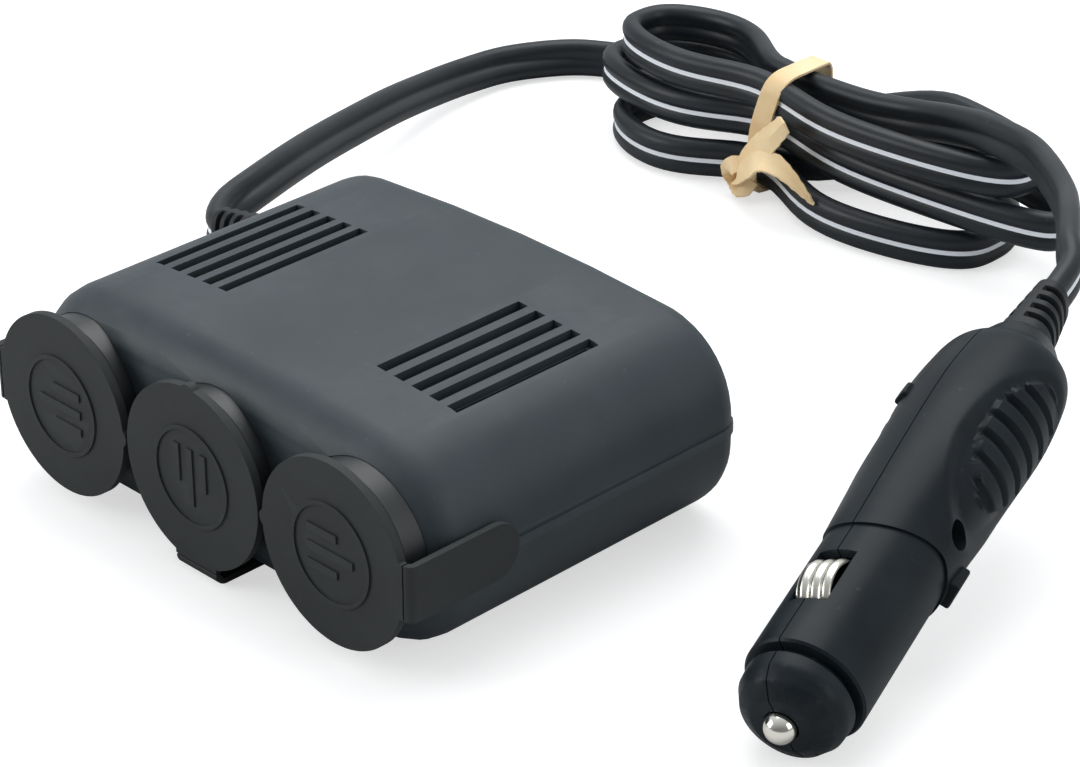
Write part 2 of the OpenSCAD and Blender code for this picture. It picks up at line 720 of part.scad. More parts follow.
module cap(i, turn) color("#3b3d3c") translate([i * socket_pitch, 0, socket_z]) rotate([0, turn, 0]) cap_form();

// Strap from the cap's hinge line round the housing's edge, with the stud that holds it
module cap_strap(i, turn, run, stud_len) color("#343635") translate([i * socket_pitch, 0, socket_z]) rotate([0, turn, 0]) {
    start = cap_hinge_r + hinge_gap;
    bend = run + strap_t - start;
    translate([start, cap_y + bend, -strap_w / 2]) intersection() {
        difference() {
            cylinder(r = bend, h = strap_w, $fn = 48);
            translate([0, 0, -over]) cylinder(r = bend - strap_t, h = strap_w + 2 * over, $fn = 48);
        }
        translate([0, -bend - over, 0]) cube([bend + over, bend + over, strap_w]);
    }
    translate([run, cap_y + bend, -strap_w / 2]) cube([strap_t, strap_end_y - strap_w / 2 - cap_y - bend, strap_w]);
    translate([run, strap_end_y - strap_w / 2, 0]) rotate([0, quarter, 0]) cylinder(r = strap_w / 2, h = strap_t, $fn = 48);
    translate([run - stud_len, stud_y, 0]) rotate([0, quarter, 0]) cylinder(r = stud_r, h = stud_len, $fn = 32);
    translate([run - stud_len - stud_head_t, stud_y, 0]) rotate([0, quarter, 0]) cylinder(r = stud_head_r, h = stud_head_t, $fn = 32);
}

// Cord exit and clamp
module ribbed_relief(len, root_w, root_t, tip_w, tip_t, slots) {
    steps = 2 * slots + 1;
    for (i = [0 : steps - 1]) {
        share = i / (steps - 1);
        cut = i % 2 == 1 ? relief_slot_depth : 0;
        translate([0, 0, i * len / steps]) linear_extrude(len / steps + (i < steps - 1 ? fit : 0))
            oval(root_w + (tip_w - root_w) * share - cut, root_t + (tip_t - root_t) * share - cut);
    }
}

module strain_relief() color("#1d2023") translate([exit_x + relief_sink, exit_y, exit_z]) rotate([0, -quarter, 0]) difference() {
    union() {
        ribbed_relief(relief_len + relief_sink, relief_root_w, relief_root_t, relief_tip_w, relief_tip_t, relief_slots);
        translate([0, 0, relief_sink - relief_flange_in]) linear_extrude(relief_flange_in) oval(relief_neck_w, relief_neck_t);
        translate([0, 0, relief_sink - relief_flange_in - relief_flange_t]) linear_extrude(relief_flange_t)
            oval(relief_neck_w + 2 * relief_flange_lip, relief_neck_t + 2 * relief_flange_lip);
    }
    translate([0, 0, relief_sink - relief_flange_in - relief_flange_t - over]) linear_extrude(2 * relief_len)
        oval(cord_w + 2 * relief_clear, cord_t + 2 * relief_clear);
}

module cord_tail() color("#15181b") translate([exit_x - relief_len, exit_y, exit_z]) rotate([0, quarter, 0])
    linear_extrude(relief_len + cord_inside) oval(cord_w, cord_t);

module cord_clamp() color("#2b2f33") difference() {
    translate([clamp_x - clamp_w / 2, exit_y - clamp_reach, exit_z + cord_w / 2 + fit]) cube([clamp_w, 2 * clamp_reach, clamp_t]);
    for (side = [-1, 1]) translate([clamp_x, exit_y + side * clamp_screw_off, exit_z]) cylinder(r = clamp_screw_r + fit, h = cord_w, $fn = 24);
}

module clamp_screws() color("silver") for (side = [-1, 1])
    translate([clamp_x, exit_y + side * clamp_screw_off, exit_z + cord_w / 2 + fit + clamp_t]) {
        cylinder(r = clamp_head_r, h = clamp_head_h, $fn = 32);
        translate([0, 0, fit - clamp_grip]) cylinder(r = clamp_screw_r - fit, h = clamp_grip, $fn = 24);
    }

// Cord
module cord_lead_in() color("#15181b") sweep(lead_in_route, flat_section);

module cord_lead_out() color("#15181b") sweep(lead_out_route, flat_section);

module cord_hank() color("#15181b") sweep(hank_route, hank_section);

module hank_tie() color("#dcb98a") {
    translate([waist_x - tie_w / 2, 0, 0]) rotate([quarter, 0, quarter]) linear_extrude(tie_w) difference() {
        offset(delta = tie_t) polygon(tie_corners);
        polygon(tie_corners);
    }
    translate([waist_x, knot_y, knot_z]) sphere(r = knot_r, $fn = 20);
    for (q = knot_tails) translate([waist_x, knot_y, knot_z]) rotate([q[0], q[1], 0])
        translate([-tie_w / 3, -tie_t / 2, 0]) cube([tie_w * 2 / 3, tie_t, q[2]]);
}

// Least distance between corners of rings that lie more than four rings apart
hank_points = sweep_points(hank_route, hank_section);
hank_sides = len(hank_section);
hank_least_gap = min([for (i = [0 : len(hank_points) - 5 * hank_sides - 1], j = [i + 5 * hank_sides : len(hank_points) - 1])
    norm(hank_points[i] - hank_points[j])]);
echo(hank_least_gap = hank_least_gap, hank_length = path_length(hank_route), lead_in_length = path_length(lead_in_route), lead_out_length = path_length(lead_out_route));

module turned(profile) {
    rotate([0, quarter, 0]) rotate_extrude($fn = 72) polygon(profile);
}

module handle_form(len, inset) {
    hull() for (st = handle_shares) translate([plug_insert + st[0] * (len - handle_slice), 0, 0]) rotate([0, quarter, 0])
        linear_extrude(handle_slice) scale([st[1], st[2]]) circle(r = handle_w / 2 - inset / st[1], $fn = 32);
}

module plug_outer() {
    turned(concat([[0, nose_s]], nose_profile, [[plug_d / 2, rim_s], [plug_d / 2, plug_insert], [0, plug_insert]]));
    handle_form(handle_len, 0);
    rotate([lug_turn, 0, 0]) translate([lug_s, -lug_w / 2, plug_d / 2 - lug_sunk]) cube([lug_len, lug_w, lug_out + lug_sunk]);
}

module plug_cavity() {
    turned([[0, nose_s - over], [pin_hole_r, nose_s - over], [pin_hole_r, pin_flange_s - fit], [pin_room_r, pin_flange_s - fit],
        [pin_room_r, cavity_s], [plug_d / 2 - plug_wall, cavity_s], [plug_d / 2 - plug_wall, plug_insert + over], [0, plug_insert + over]]);
    handle_form(handle_len - 2 * plug_wall, plug_wall);
    for (side = [-1, 1]) translate([window_s, -contact_w / 2 - soft_gap, side > 0 ? 0 : -plug_d])
        cube([window_len, contact_w + 2 * soft_gap, plug_d]);
    translate([plug_end - boot_grip, 0, 0]) rotate([-plug_roll, 0, 0]) rotate([0, quarter, 0])
        linear_extrude(boot_grip + over) oval(boot_neck_w + 2 * fit, boot_neck_t + 2 * fit);
}

// Shallow grooves across the thumb and finger pads
module grip_grooves() {
    for (side = [-1, 1], i = [0 : grip_count - 1])
        translate([grip_s + i * grip_pitch, side * grip_y, -grip_half]) cylinder(r = grip_r, h = 2 * grip_half, $fn = 32);
}

module plug_shell(side) color("#1f2326") at_plug() rotate([plug_roll, 0, 0]) difference() {
    intersection() {
        union() {
            difference() {
                plug_outer();
                plug_cavity();
            }
            intersection() {
                plug_outer();
                translate([plug_screw_s, side > 0 ? 0 : -handle_w, 0]) rotate([-quarter, 0, 0]) cylinder(r = plug_boss_r, h = handle_w, $fn = 40);
            }
        }
        translate([0, side > 0 ? 0 : -2 * handle_w, -handle_w]) cube([2 * plug_end, 2 * handle_w, 2 * handle_w]);
    }
    grip_grooves();
    translate([plug_screw_s, 0, 0]) rotate([-side * quarter, 0, 0]) {
        translate([0, 0, -over]) cylinder(r = side > 0 ? plug_screw_r : plug_screw_r + fit, h = side > 0 ? plug_screw_grip + over : handle_w, $fn = 32);
        if (side < 0) translate([0, 0, plug_screw_seat]) cylinder(r = plug_screw_head_r + soft_gap, h = handle_w, $fn = 40);
    }
}

module plug_left_shell() plug_shell(1);

module plug_right_shell() plug_shell(-1);

module plug_screw() color("silver") at_plug() rotate([plug_roll, 0, 0]) translate([plug_screw_s, 0, 0]) rotate([quarter, 0, 0]) difference() {
    union() {
        translate([0, 0, plug_screw_seat]) cylinder(r = plug_screw_head_r, h = plug_screw_head_h, $fn = 40);
        translate([0, 0, -plug_screw_grip + fit]) cylinder(r = plug_screw_r - fit, h = plug_screw_grip + plug_screw_seat, $fn = 32);
    }
    for (turn = [0, quarter]) rotate([0, 0, turn]) translate([-screw_slot_len / 2, -screw_slot_w / 2, plug_screw_seat + plug_screw_head_h - screw_slot_w])
        cube([screw_slot_len, screw_slot_w, screw_slot_w + over]);
}

module plug_centre_pin() color("#d6d6d2") at_plug() {
    turned(concat([for (i = [0 : tip_steps]) let (a = quarter * i / tip_steps) [tip_d / 2 * sin(a), tip_d / 2 * (1 - cos(a))]],
        [[tip_d / 2, pin_flange_s], [pin_flange_r, pin_flange_s], [pin_flange_r, fuse_s], [0, fuse_s]]));
}

module fuse_glass() color("#cfd8da") at_plug() translate([fuse_s + fuse_end_len, 0, 0]) rotate([0, quarter, 0])
    cylinder(d = fuse_d - fuse_end_step, h = fuse_len - 2 * fuse_end_len, $fn = 40);

module fuse_ends() color("#c9c7c2") at_plug() for (s = [fuse_s, fuse_s + fuse_len - fuse_end_len])
    translate([s, 0, 0]) rotate([0, quarter, 0]) cylinder(d = fuse_d, h = fuse_end_len, $fn = 40);

module pin_spring() color("#b8b6b0") at_plug() translate([spring_s, 0, 0]) rotate([0, quarter, 0]) sweep(spring_route, spring_section);

module plug_terminal() color("#c7b06a") at_plug() translate([terminal_s, 0, 0]) rotate([0, quarter, 0]) {
    cylinder(r = pin_flange_r, h = terminal_t, $fn = 40);
    translate([0, 0, -terminal_cup]) difference() {
        cylinder(r = pin_flange_r, h = terminal_cup, $fn = 40);
        translate([0, 0, -over]) cylinder(r = pin_flange_r - terminal_wall, h = terminal_cup + 2 * over, $fn = 40);
    }
}

// Bowed strip that presses on the socket's sleeve
module side_contact(side) color("#d9d4c8") at_plug() rotate([plug_roll + (side > 0 ? 0 : half), 0, 0])
    translate([contact_s, contact_w / 2, contact_root]) rotate([quarter, 0, 0]) linear_extrude(contact_w) {
        difference() {
            intersection() {
                translate([0, contact_rise - contact_bow_r]) circle(r = contact_bow_r, $fn = 96);
                translate([-contact_half, 0]) square([2 * contact_half, contact_rise + over]);
            }
            translate([0, contact_rise - contact_bow_r]) circle(r = contact_bow_r - contact_t, $fn = 96);
        }
        for (end = [-1, 1]) translate([end > 0 ? contact_half - contact_t : -contact_half - contact_foot + contact_t, 0]) square([contact_foot, contact_t]);
    }

module upper_side_contact() side_contact(1);

module lower_side_contact() side_contact(-1);

module side_contact_strap() color("#c5c1b6") at_plug() translate([strap_ring_s, 0, 0]) rotate([0, quarter, 0]) difference() {
    cylinder(r = strap_ring_r, h = strap_ring_w, $fn = 64);
    translate([0, 0, -over]) cylinder(r = strap_ring_r - contact_t, h = strap_ring_w + 2 * over, $fn = 64);
}

module plug_boot() color("#191c1f") at_plug() translate([plug_end, 0, 0]) rotate([0, quarter, 0]) difference() {
    union() {
        ribbed_relief(boot_len, boot_root_w, boot_root_t, boot_tip_w, boot_tip_t, boot_slots);
        translate([0, 0, -boot_grip]) linear_extrude(boot_grip + fit) oval(boot_neck_w, boot_neck_t);
        translate([0, 0, -boot_grip - relief_flange_t]) linear_extrude(relief_flange_t) oval(boot_neck_w + relief_flange_lip, boot_neck_t + relief_flange_lip);
    }
    translate([0, 0, -boot_grip - relief_flange_t - over]) linear_extrude(boot_len + boot_grip + relief_flange_t + 2 * over)
        oval(cord_w + 2 * relief_clear, cord_t + 2 * relief_clear);
}

module plug_cord_end() color("#15181b") at_plug() translate([plug_cord_s, 0, 0]) rotate([0, quarter, 0])
    linear_extrude(plug_end + boot_len - plug_cord_s) oval(cord_w, cord_t);

module plug_positive_lead() color("#a02420") at_plug() sweep(plug_positive_route, plug_lead_section);

module plug_negative_lead() color("#1b1d1f") at_plug() sweep(plug_negative_route, plug_lead_section);

module left_socket_barrel() socket_barrel(-1);

module middle_socket_barrel() socket_barrel(0);

module right_socket_barrel() socket_barrel(1);

module left_ground_sleeve() ground_sleeve(-1);

module middle_ground_sleeve() ground_sleeve(0);

module right_ground_sleeve() ground_sleeve(1);

module left_centre_contact() centre_contact(-1);

module middle_centre_contact() centre_contact(0);

module right_centre_contact() centre_contact(1);

module left_cap() cap(-1, half);

module middle_cap() cap(0, quarter);

module right_cap() cap(1, 0);

module left_cap_strap() cap_strap(-1, half, side_run, side_stud_len);

module middle_cap_strap() cap_strap(0, quarter, under_run, under_stud_len);

module right_cap_strap() cap_strap(1, 0, side_run, side_stud_len);

upper_shell();
lower_shell();
housing_screws();
left_socket_barrel();
middle_socket_barrel();
right_socket_barrel();
left_ground_sleeve();
middle_ground_sleeve();
right_ground_sleeve();
left_centre_contact();
middle_centre_contact();
right_centre_contact();
left_cap();
middle_cap();
right_cap();
left_cap_strap();
middle_cap_strap();
right_cap_strap();
positive_bus_bar();
negative_bus_bar();
positive_lead();
negative_lead();
cord_clamp();
clamp_screws();
strain_relief();
cord_tail();
cord_lead_in();
cord_hank();
cord_lead_out();
hank_tie();
plug_left_shell();
plug_right_shell();
plug_screw();
plug_boot();
plug_centre_pin();
fuse_glass();
fuse_ends();
pin_spring();
plug_terminal();
plug_cord_end();
plug_positive_lead();
plug_negative_lead();
upper_side_contact();
lower_side_contact();
side_contact_strap();
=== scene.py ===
"""Looks of a three-way car power socket splitter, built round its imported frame.

Every piece is in metres, in the frame's own axes: the sockets face -Y, the cord leaves at -X and +Z is up.
The sizes that the classes keep are in mm and degrees, where nothing else is said.
"""

import json
import logging
import math
from collections.abc import Callable, Iterable
from dataclasses import dataclass, field
from enum import Enum
from functools import partial

import bmesh
import bpy
from bmesh.types import BMEdge, BMesh, BMVert
from bpy.types import ID, Material, Mesh, Node, NodeSocket, NodeTree, Object
from mathutils import Matrix, Vector

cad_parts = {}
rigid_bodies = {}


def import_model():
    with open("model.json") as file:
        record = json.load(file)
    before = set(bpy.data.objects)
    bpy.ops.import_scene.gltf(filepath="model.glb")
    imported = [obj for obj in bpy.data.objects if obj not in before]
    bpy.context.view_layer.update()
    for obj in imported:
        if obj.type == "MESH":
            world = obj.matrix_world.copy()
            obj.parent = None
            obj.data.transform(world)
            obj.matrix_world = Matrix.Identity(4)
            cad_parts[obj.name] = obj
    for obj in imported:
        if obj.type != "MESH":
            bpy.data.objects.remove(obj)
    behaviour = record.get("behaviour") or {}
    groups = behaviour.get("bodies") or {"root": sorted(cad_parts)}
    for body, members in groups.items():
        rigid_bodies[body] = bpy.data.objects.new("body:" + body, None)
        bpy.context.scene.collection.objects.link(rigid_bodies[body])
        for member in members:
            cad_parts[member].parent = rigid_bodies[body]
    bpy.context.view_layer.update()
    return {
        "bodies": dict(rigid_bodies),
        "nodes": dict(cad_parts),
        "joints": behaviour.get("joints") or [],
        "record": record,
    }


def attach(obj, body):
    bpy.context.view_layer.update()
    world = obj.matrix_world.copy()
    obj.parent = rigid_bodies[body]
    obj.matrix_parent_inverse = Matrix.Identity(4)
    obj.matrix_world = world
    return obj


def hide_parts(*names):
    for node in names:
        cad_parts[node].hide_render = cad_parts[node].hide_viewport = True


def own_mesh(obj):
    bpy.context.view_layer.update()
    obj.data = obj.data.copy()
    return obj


Point = tuple[float, float, float]

MM = 0.001
WELD = 2e-6
NEAR = 1e-6
ON_PLANE = 1e-7
COPLANAR = math.radians(0.4)
HOUSING_EXIT: Point = (-51.6, 27.15, 19.8)
WAIST_X = -35.0
LOG = logging.getLogger("splitter")


class Body(Enum):
    """The frame's bodies that pieces ride on."""

    SPLITTER = "splitter"
    LEFT_CAP = "left_cap"
    MIDDLE_CAP = "middle_cap"
    RIGHT_CAP = "right_cap"
    CENTRE_PIN = "centre_pin"
    UPPER_CONTACT = "upper_contact"
    LOWER_CONTACT = "lower_contact"


class Slot(Enum):
    """The record's material slots."""

    HOUSING = "housing_plastic"
    LOWER = "lower_plastic"
    BARREL = "barrel_plastic"
    CAP = "cap_rubber"
    NICKEL = "nickel"
    BRASS = "brass"
    SCREW = "screw_steel"
    CORD = "cord_pvc"
    LEAD_RED = "lead_red"
    LEAD_BLACK = "lead_black"
    TIE = "tie_tan"
    PLUG = "plug_plastic"
    BOOT = "boot_rubber"
    GLASS = "glass_tube"
    SPRING = "spring_steel"


# ---------------------------------------------------------------- small tools


def clamped(value: float) -> float:
    """The value, kept between 0 and 1."""
    return min(1.0, max(0.0, value))


def ease(share: float) -> float:
    """Smooth step of a share."""
    share = clamped(share)
    return share * share * (3 - 2 * share)


def turned(degrees: float, axis: str) -> Matrix:
    """Turn about an axis."""
    return Matrix.Rotation(math.radians(degrees), 4, axis)


def moved(place: Iterable[float]) -> Matrix:
    """Shift to a place given in mm."""
    return Matrix.Translation(Vector(place) * MM)


def placed(name: str, data: ID) -> Object:
    """New object in the scene.

    Args:
        name: Its name.
        data: Its mesh, curve, lamp or camera.

    Returns:
        The object.
    """
    obj = bpy.data.objects.new(name, data)
    bpy.context.scene.collection.objects.link(obj)
    return obj


def mesh_from(name: str, bm: BMesh) -> Mesh:
    """New mesh from a working one.

    Args:
        name: Its name.
        bm: The working mesh, which is used up.

    Returns:
        The mesh.
    """
    mesh = bpy.data.meshes.new(name)
    bm.to_mesh(mesh)
    bm.free()
    return mesh


def recalculated(bm: BMesh) -> BMesh:
    """The same mesh, its faces turned outwards."""
    bmesh.ops.recalc_face_normals(bm, faces=bm.faces[:])
    return bm


def extruded(bm: BMesh, edges: list[BMEdge]) -> tuple[list[BMVert], list[BMEdge]]:
    """Extrudes a line of edges.

    Args:
        bm: The mesh.
        edges: Its edges.

    Returns:
        The new line's vertices and its edges, without those that join it to the old one.
    """
    made = bmesh.ops.extrude_edge_only(bm, edges=edges)["geom"]
    verts = [item for item in made if isinstance(item, BMVert)]
    line = [item for item in made if isinstance(item, BMEdge) and set(item.verts) <= set(verts)]
    return verts, line


def edges_of(verts: Iterable[BMVert]) -> list[BMEdge]:
    """Every edge that meets one of the vertices, once."""
    return list(dict.fromkeys(edge for vert in verts for edge in vert.link_edges))


def lofted(sides: int, rings: list[Callable[[float], Vector]]) -> BMesh:
    """Closed form through a row of rings.

    Args:
        sides: Corners of each ring.
        rings: For each ring, what gives a corner's place in mm from its turn in radians, 0 at +Y.

    Returns:
        Its mesh, in metres.
    """
    bm = bmesh.new()
    verts = bmesh.ops.create_circle(bm, segments=sides, radius=1.0)["verts"]
    edges = edges_of(verts)
    turns = {vert: math.atan2(vert.co.y, vert.co.x) for vert in verts}
    for number, corner in enumerate(rings):
        if number:
            verts, edges = extruded(bm, edges)
            turns = {vert: next(turns[edge.other_vert(vert)] for edge in vert.link_edges
                                if edge.other_vert(vert) in turns) for vert in verts}
        for vert in verts:
            vert.co = corner(turns[vert]) * MM
    bmesh.ops.holes_fill(bm, edges=[edge for edge in bm.edges if edge.is_boundary], sides=0)
    return recalculated(bm)


def smooth_path(points: list[Vector], parts: int = 6) -> list[Vector]:
    """Points of one smooth curve through those given.

    Args:
        points: Points that it passes through.
        parts: Steps between two of them.

    Returns:
        The finer points.
    """
    result = []
    for i, (start, end) in enumerate(zip(points, points[1:])):
        before, after = points[max(i - 1, 0)], points[min(i + 2, len(points) - 1)]
        for step in range(parts):
            t = step / parts
            result.append(0.5 * ((2 * start) + (end - before) * t
                                 + (2 * before - 5 * start + 4 * end - after) * t * t
                                 + (3 * start - before - 3 * end + after) * t ** 3))
    return result + [points[-1]]


# ---------------------------------------------------------------- finishes


def linear(*colour: float) -> tuple[float, ...]:
    """Scene-linear colour, with alpha, of one given as it looks on a screen, 0 to 255."""
    shares = [channel / 255 for channel in colour]
    return (*(s / 12.92 if s <= 0.04045 else ((s + 0.055) / 1.055) ** 2.4 for s in shares), 1.0)


@dataclass(frozen=True)
class Finish:
    """What every finish has. Colours are as they look on a screen, 0 to 255."""

    name: str
    slot: Slot
    light: Point
    dark: Point
    roughness: float = 0.5


@dataclass(frozen=True)
class Moulded(Finish):
    """A moulded plastic or rubber finish."""

    grain_scale: float = 2600
    bump: float = 0.48
    dust_and_sheen: float = 0.06
    wear: float = 0.1
    specular: float = 0.5
    paler_by: float = 70
    dust_and_sheen_colour: Point = (205, 205, 200)


@dataclass(frozen=True)
class Metal(Finish):
    """A metal finish, with fine marks along one way and a little tarnish."""

    streaks: Point = (0.9, 0.9, 0.9)
    tarnish: float = 0.3
    bump: float = 0.2


@dataclass(frozen=True)
class Striped(Finish):
    """The cord's sheath. A pale stripe, and beside it a dark line of painted shadow for the groove between the
    cores, lie at places round it, 0 to 1.
    """

    stripe: Point = (242, 246, 252)
    # Painted shadow: a dark navy line beside the stripe, where the groove between the cores lies in shadow.
    painted_groove_shadow: Point = (10, 16, 30)
    stripe_from: float = 0.732
    stripe_to: float = 0.778
    dust_and_sheen: float = 0.05
    dust_and_sheen_colour: Point = (200, 200, 198)
    specular: float = 0.38
    bump: float = 0.25


@dataclass(frozen=True)
class Clear(Finish):
    """Clear glass."""

    refraction: float = 1.5


@dataclass(frozen=True)
class Palette:
    """Every finish of the part."""

    housing: Moulded = Moulded("housing_plastic", Slot.HOUSING, (55, 63, 68), (49, 57, 62), 0.5,
                               2300, 0.32, 0.03, 0.10, 0.33)
    lower: Moulded = Moulded("lower_plastic", Slot.LOWER, (52, 59, 63), (46, 53, 57), 0.52,
                             2300, 0.32, 0.03, 0.10, 0.33)
    barrel: Moulded = Moulded("barrel_plastic", Slot.BARREL, (40, 43, 45), (34, 37, 39), 0.4,
                              2600, 0.24, 0.03, 0.12)
    cap: Moulded = Moulded("cap_rubber", Slot.CAP, (46, 49, 50), (39, 42, 43), 0.62,
                           2100, 0.32, 0.03, 0.10, 0.3)
    cord_clamp: Moulded = Moulded("clamp_plastic", Slot.BARREL, (46, 49, 52), (40, 43, 46))
    plug: Moulded = Moulded("plug_plastic", Slot.PLUG, (25, 32, 37), (20, 26, 31), 0.38,
                            2600, 0.2, 0.025, 0.06, 0.15)
    boot: Moulded = Moulded("boot_rubber", Slot.BOOT, (27, 31, 35), (20, 24, 28), 0.5,
                            2400, 0.28, 0.03, 0.06, 0.3)
    red: Moulded = Moulded("lead_red", Slot.LEAD_RED, (168, 40, 34), (140, 30, 26), 0.45,
                           1800, 0.2, 0.02, 0.0)
    black: Moulded = Moulded("lead_black", Slot.LEAD_BLACK, (44, 46, 48), (34, 36, 38), 0.45,
                             1800, 0.2, 0.02, 0.0)
    # The tie's 0.3 of pale veil, ten times the others', pales its upward faces: partly latex chalk, partly a
    # painted highlight where its tops catch the light.
    tan: Moulded = Moulded("tie_tan", Slot.TIE, (253, 228, 184), (238, 205, 154), 0.55,
                           1500, 0.64, 0.3, 0.0, 0.3)
    nickel: Metal = Metal("nickel", Slot.NICKEL, (232, 229, 220), (186, 180, 166), 0.2,
                          (1.8, 0.26, 0.26), 0.4, 0.16)
    polished: Metal = Metal("polished_nickel", Slot.NICKEL, (250, 246, 236), (206, 200, 188), 0.09,
                            (0.7, 0.7, 0.7), 0.2, 0.04)
    brass: Metal = Metal("brass", Slot.BRASS, (212, 182, 112), (170, 138, 78), 0.26,
                         (0.9, 0.9, 0.9), 0.5, 0.12)
    steel: Metal = Metal("screw_steel", Slot.SCREW, (190, 190, 188), (140, 140, 138), 0.3,
                         (1.4, 1.4, 0.4), 0.5, 0.16)
    spring: Metal = Metal("spring_steel", Slot.SPRING, (176, 176, 172), (120, 120, 118), 0.32,
                          (2.0, 2.0, 2.0), 0.4, 0.12)
    cord: Striped = Striped("cord_pvc", Slot.CORD, (31, 37, 42), (23, 28, 33), 0.42)
    glass: Clear = Clear("glass_tube", Slot.GLASS, (240, 246, 247), (226, 236, 238), 0.02)


class Graph:
    """A shader node tree, with short ways of adding to it."""

    def __init__(self, tree: NodeTree) -> None:
        """Keeps the tree that it adds to."""
        self.tree = tree

    def feed(self, node: Node, inputs: dict[str | int, object]) -> None:
        """Feeds a node's inputs.

        Args:
            node: The node.
            inputs: For each input's name or number, the socket that it is linked to, or its value.
        """
        for key, value in inputs.items():
            if isinstance(value, NodeSocket):
                self.tree.links.new(value, node.inputs[key])
            else:
                node.inputs[key].default_value = value

    def add(self, kind: str, inputs: dict[str | int, object] | None = None, **settings: object) -> Node:
        """New node.

        Args:
            kind: Its type, without what every shader node's type starts with.
            inputs: What its inputs are fed.
            settings: Its own settings.

        Returns:
            The node.
        """
        node = self.tree.nodes.new("ShaderNode" + kind)
        for name, value in settings.items():
            setattr(node, name, value)
        self.feed(node, inputs or {})
        return node

    def group(self, tree: NodeTree, **inputs: object) -> NodeSocket:
        """What a shared group puts out here, fed with the inputs."""
        return self.add("Group", inputs, node_tree=tree).outputs[0]

    def place(self, kind: str = "Object") -> NodeSocket:
        """Place on the surface, in the piece's own axes or by its own map."""
        return self.add("TexCoord").outputs[kind]

    def math(self, operation: str, *values: object) -> NodeSocket:
        """Result of a sum on sockets and numbers."""
        return self.add("Math", dict(enumerate(values)), operation=operation).outputs["Value"]

    def ramp(self, value: NodeSocket, low: float, high: float, least: float = 0, most: float = 1) -> NodeSocket:
        """A value mapped from low and high to least and most, and kept between them."""
        return self.add("MapRange", {"Value": value, "From Min": low, "From Max": high, "To Min": least,
                                     "To Max": most}).outputs["Result"]

    def blend(self, factor: NodeSocket, first: object, second: object) -> NodeSocket:
        """Mix of two colours, each a colour or a socket, by how much of the second there is."""
        return self.add("Mix", {"Factor": factor, 6: first, 7: second}, data_type="RGBA").outputs[2]

    def scaled(self, value: NodeSocket, share: float, base: float = 0.0) -> NodeSocket:
        """A value times a share, plus a base."""
        return self.math("MULTIPLY_ADD", value, share, base)

    def bump(self, height: NodeSocket, strength: float, deep: float = 0.06 * MM) -> NodeSocket:
        """Normal of a surface with a height, deep metres at most."""
        return self.add("Bump", {"Height": height, "Strength": strength, "Distance": deep}).outputs["Normal"]

    def closed(self, value: NodeSocket) -> NodeTree:
        """A group's tree, which now puts out the value."""
        self.tree.links.new(value, self.tree.nodes.new("NodeGroupOutput").inputs[0])
        return self.tree

    def seen(self) -> NodeSocket:
        """1 where the camera sees the surface, straight or through glass."""
        rays = self.add("LightPath").outputs
        return self.math("MAXIMUM", rays["Is Camera Ray"], rays["Is Transmission Ray"])


def new_material(name: str) -> tuple[Material, Graph, Node]:
    """New material.

    Args:
        name: Its name.

    Returns:
        The material, its graph and its Principled shader.
    """
    material = bpy.data.materials.new(name)
    material.use_nodes = True
    return material, Graph(material.node_tree), material.node_tree.nodes["Principled BSDF"]


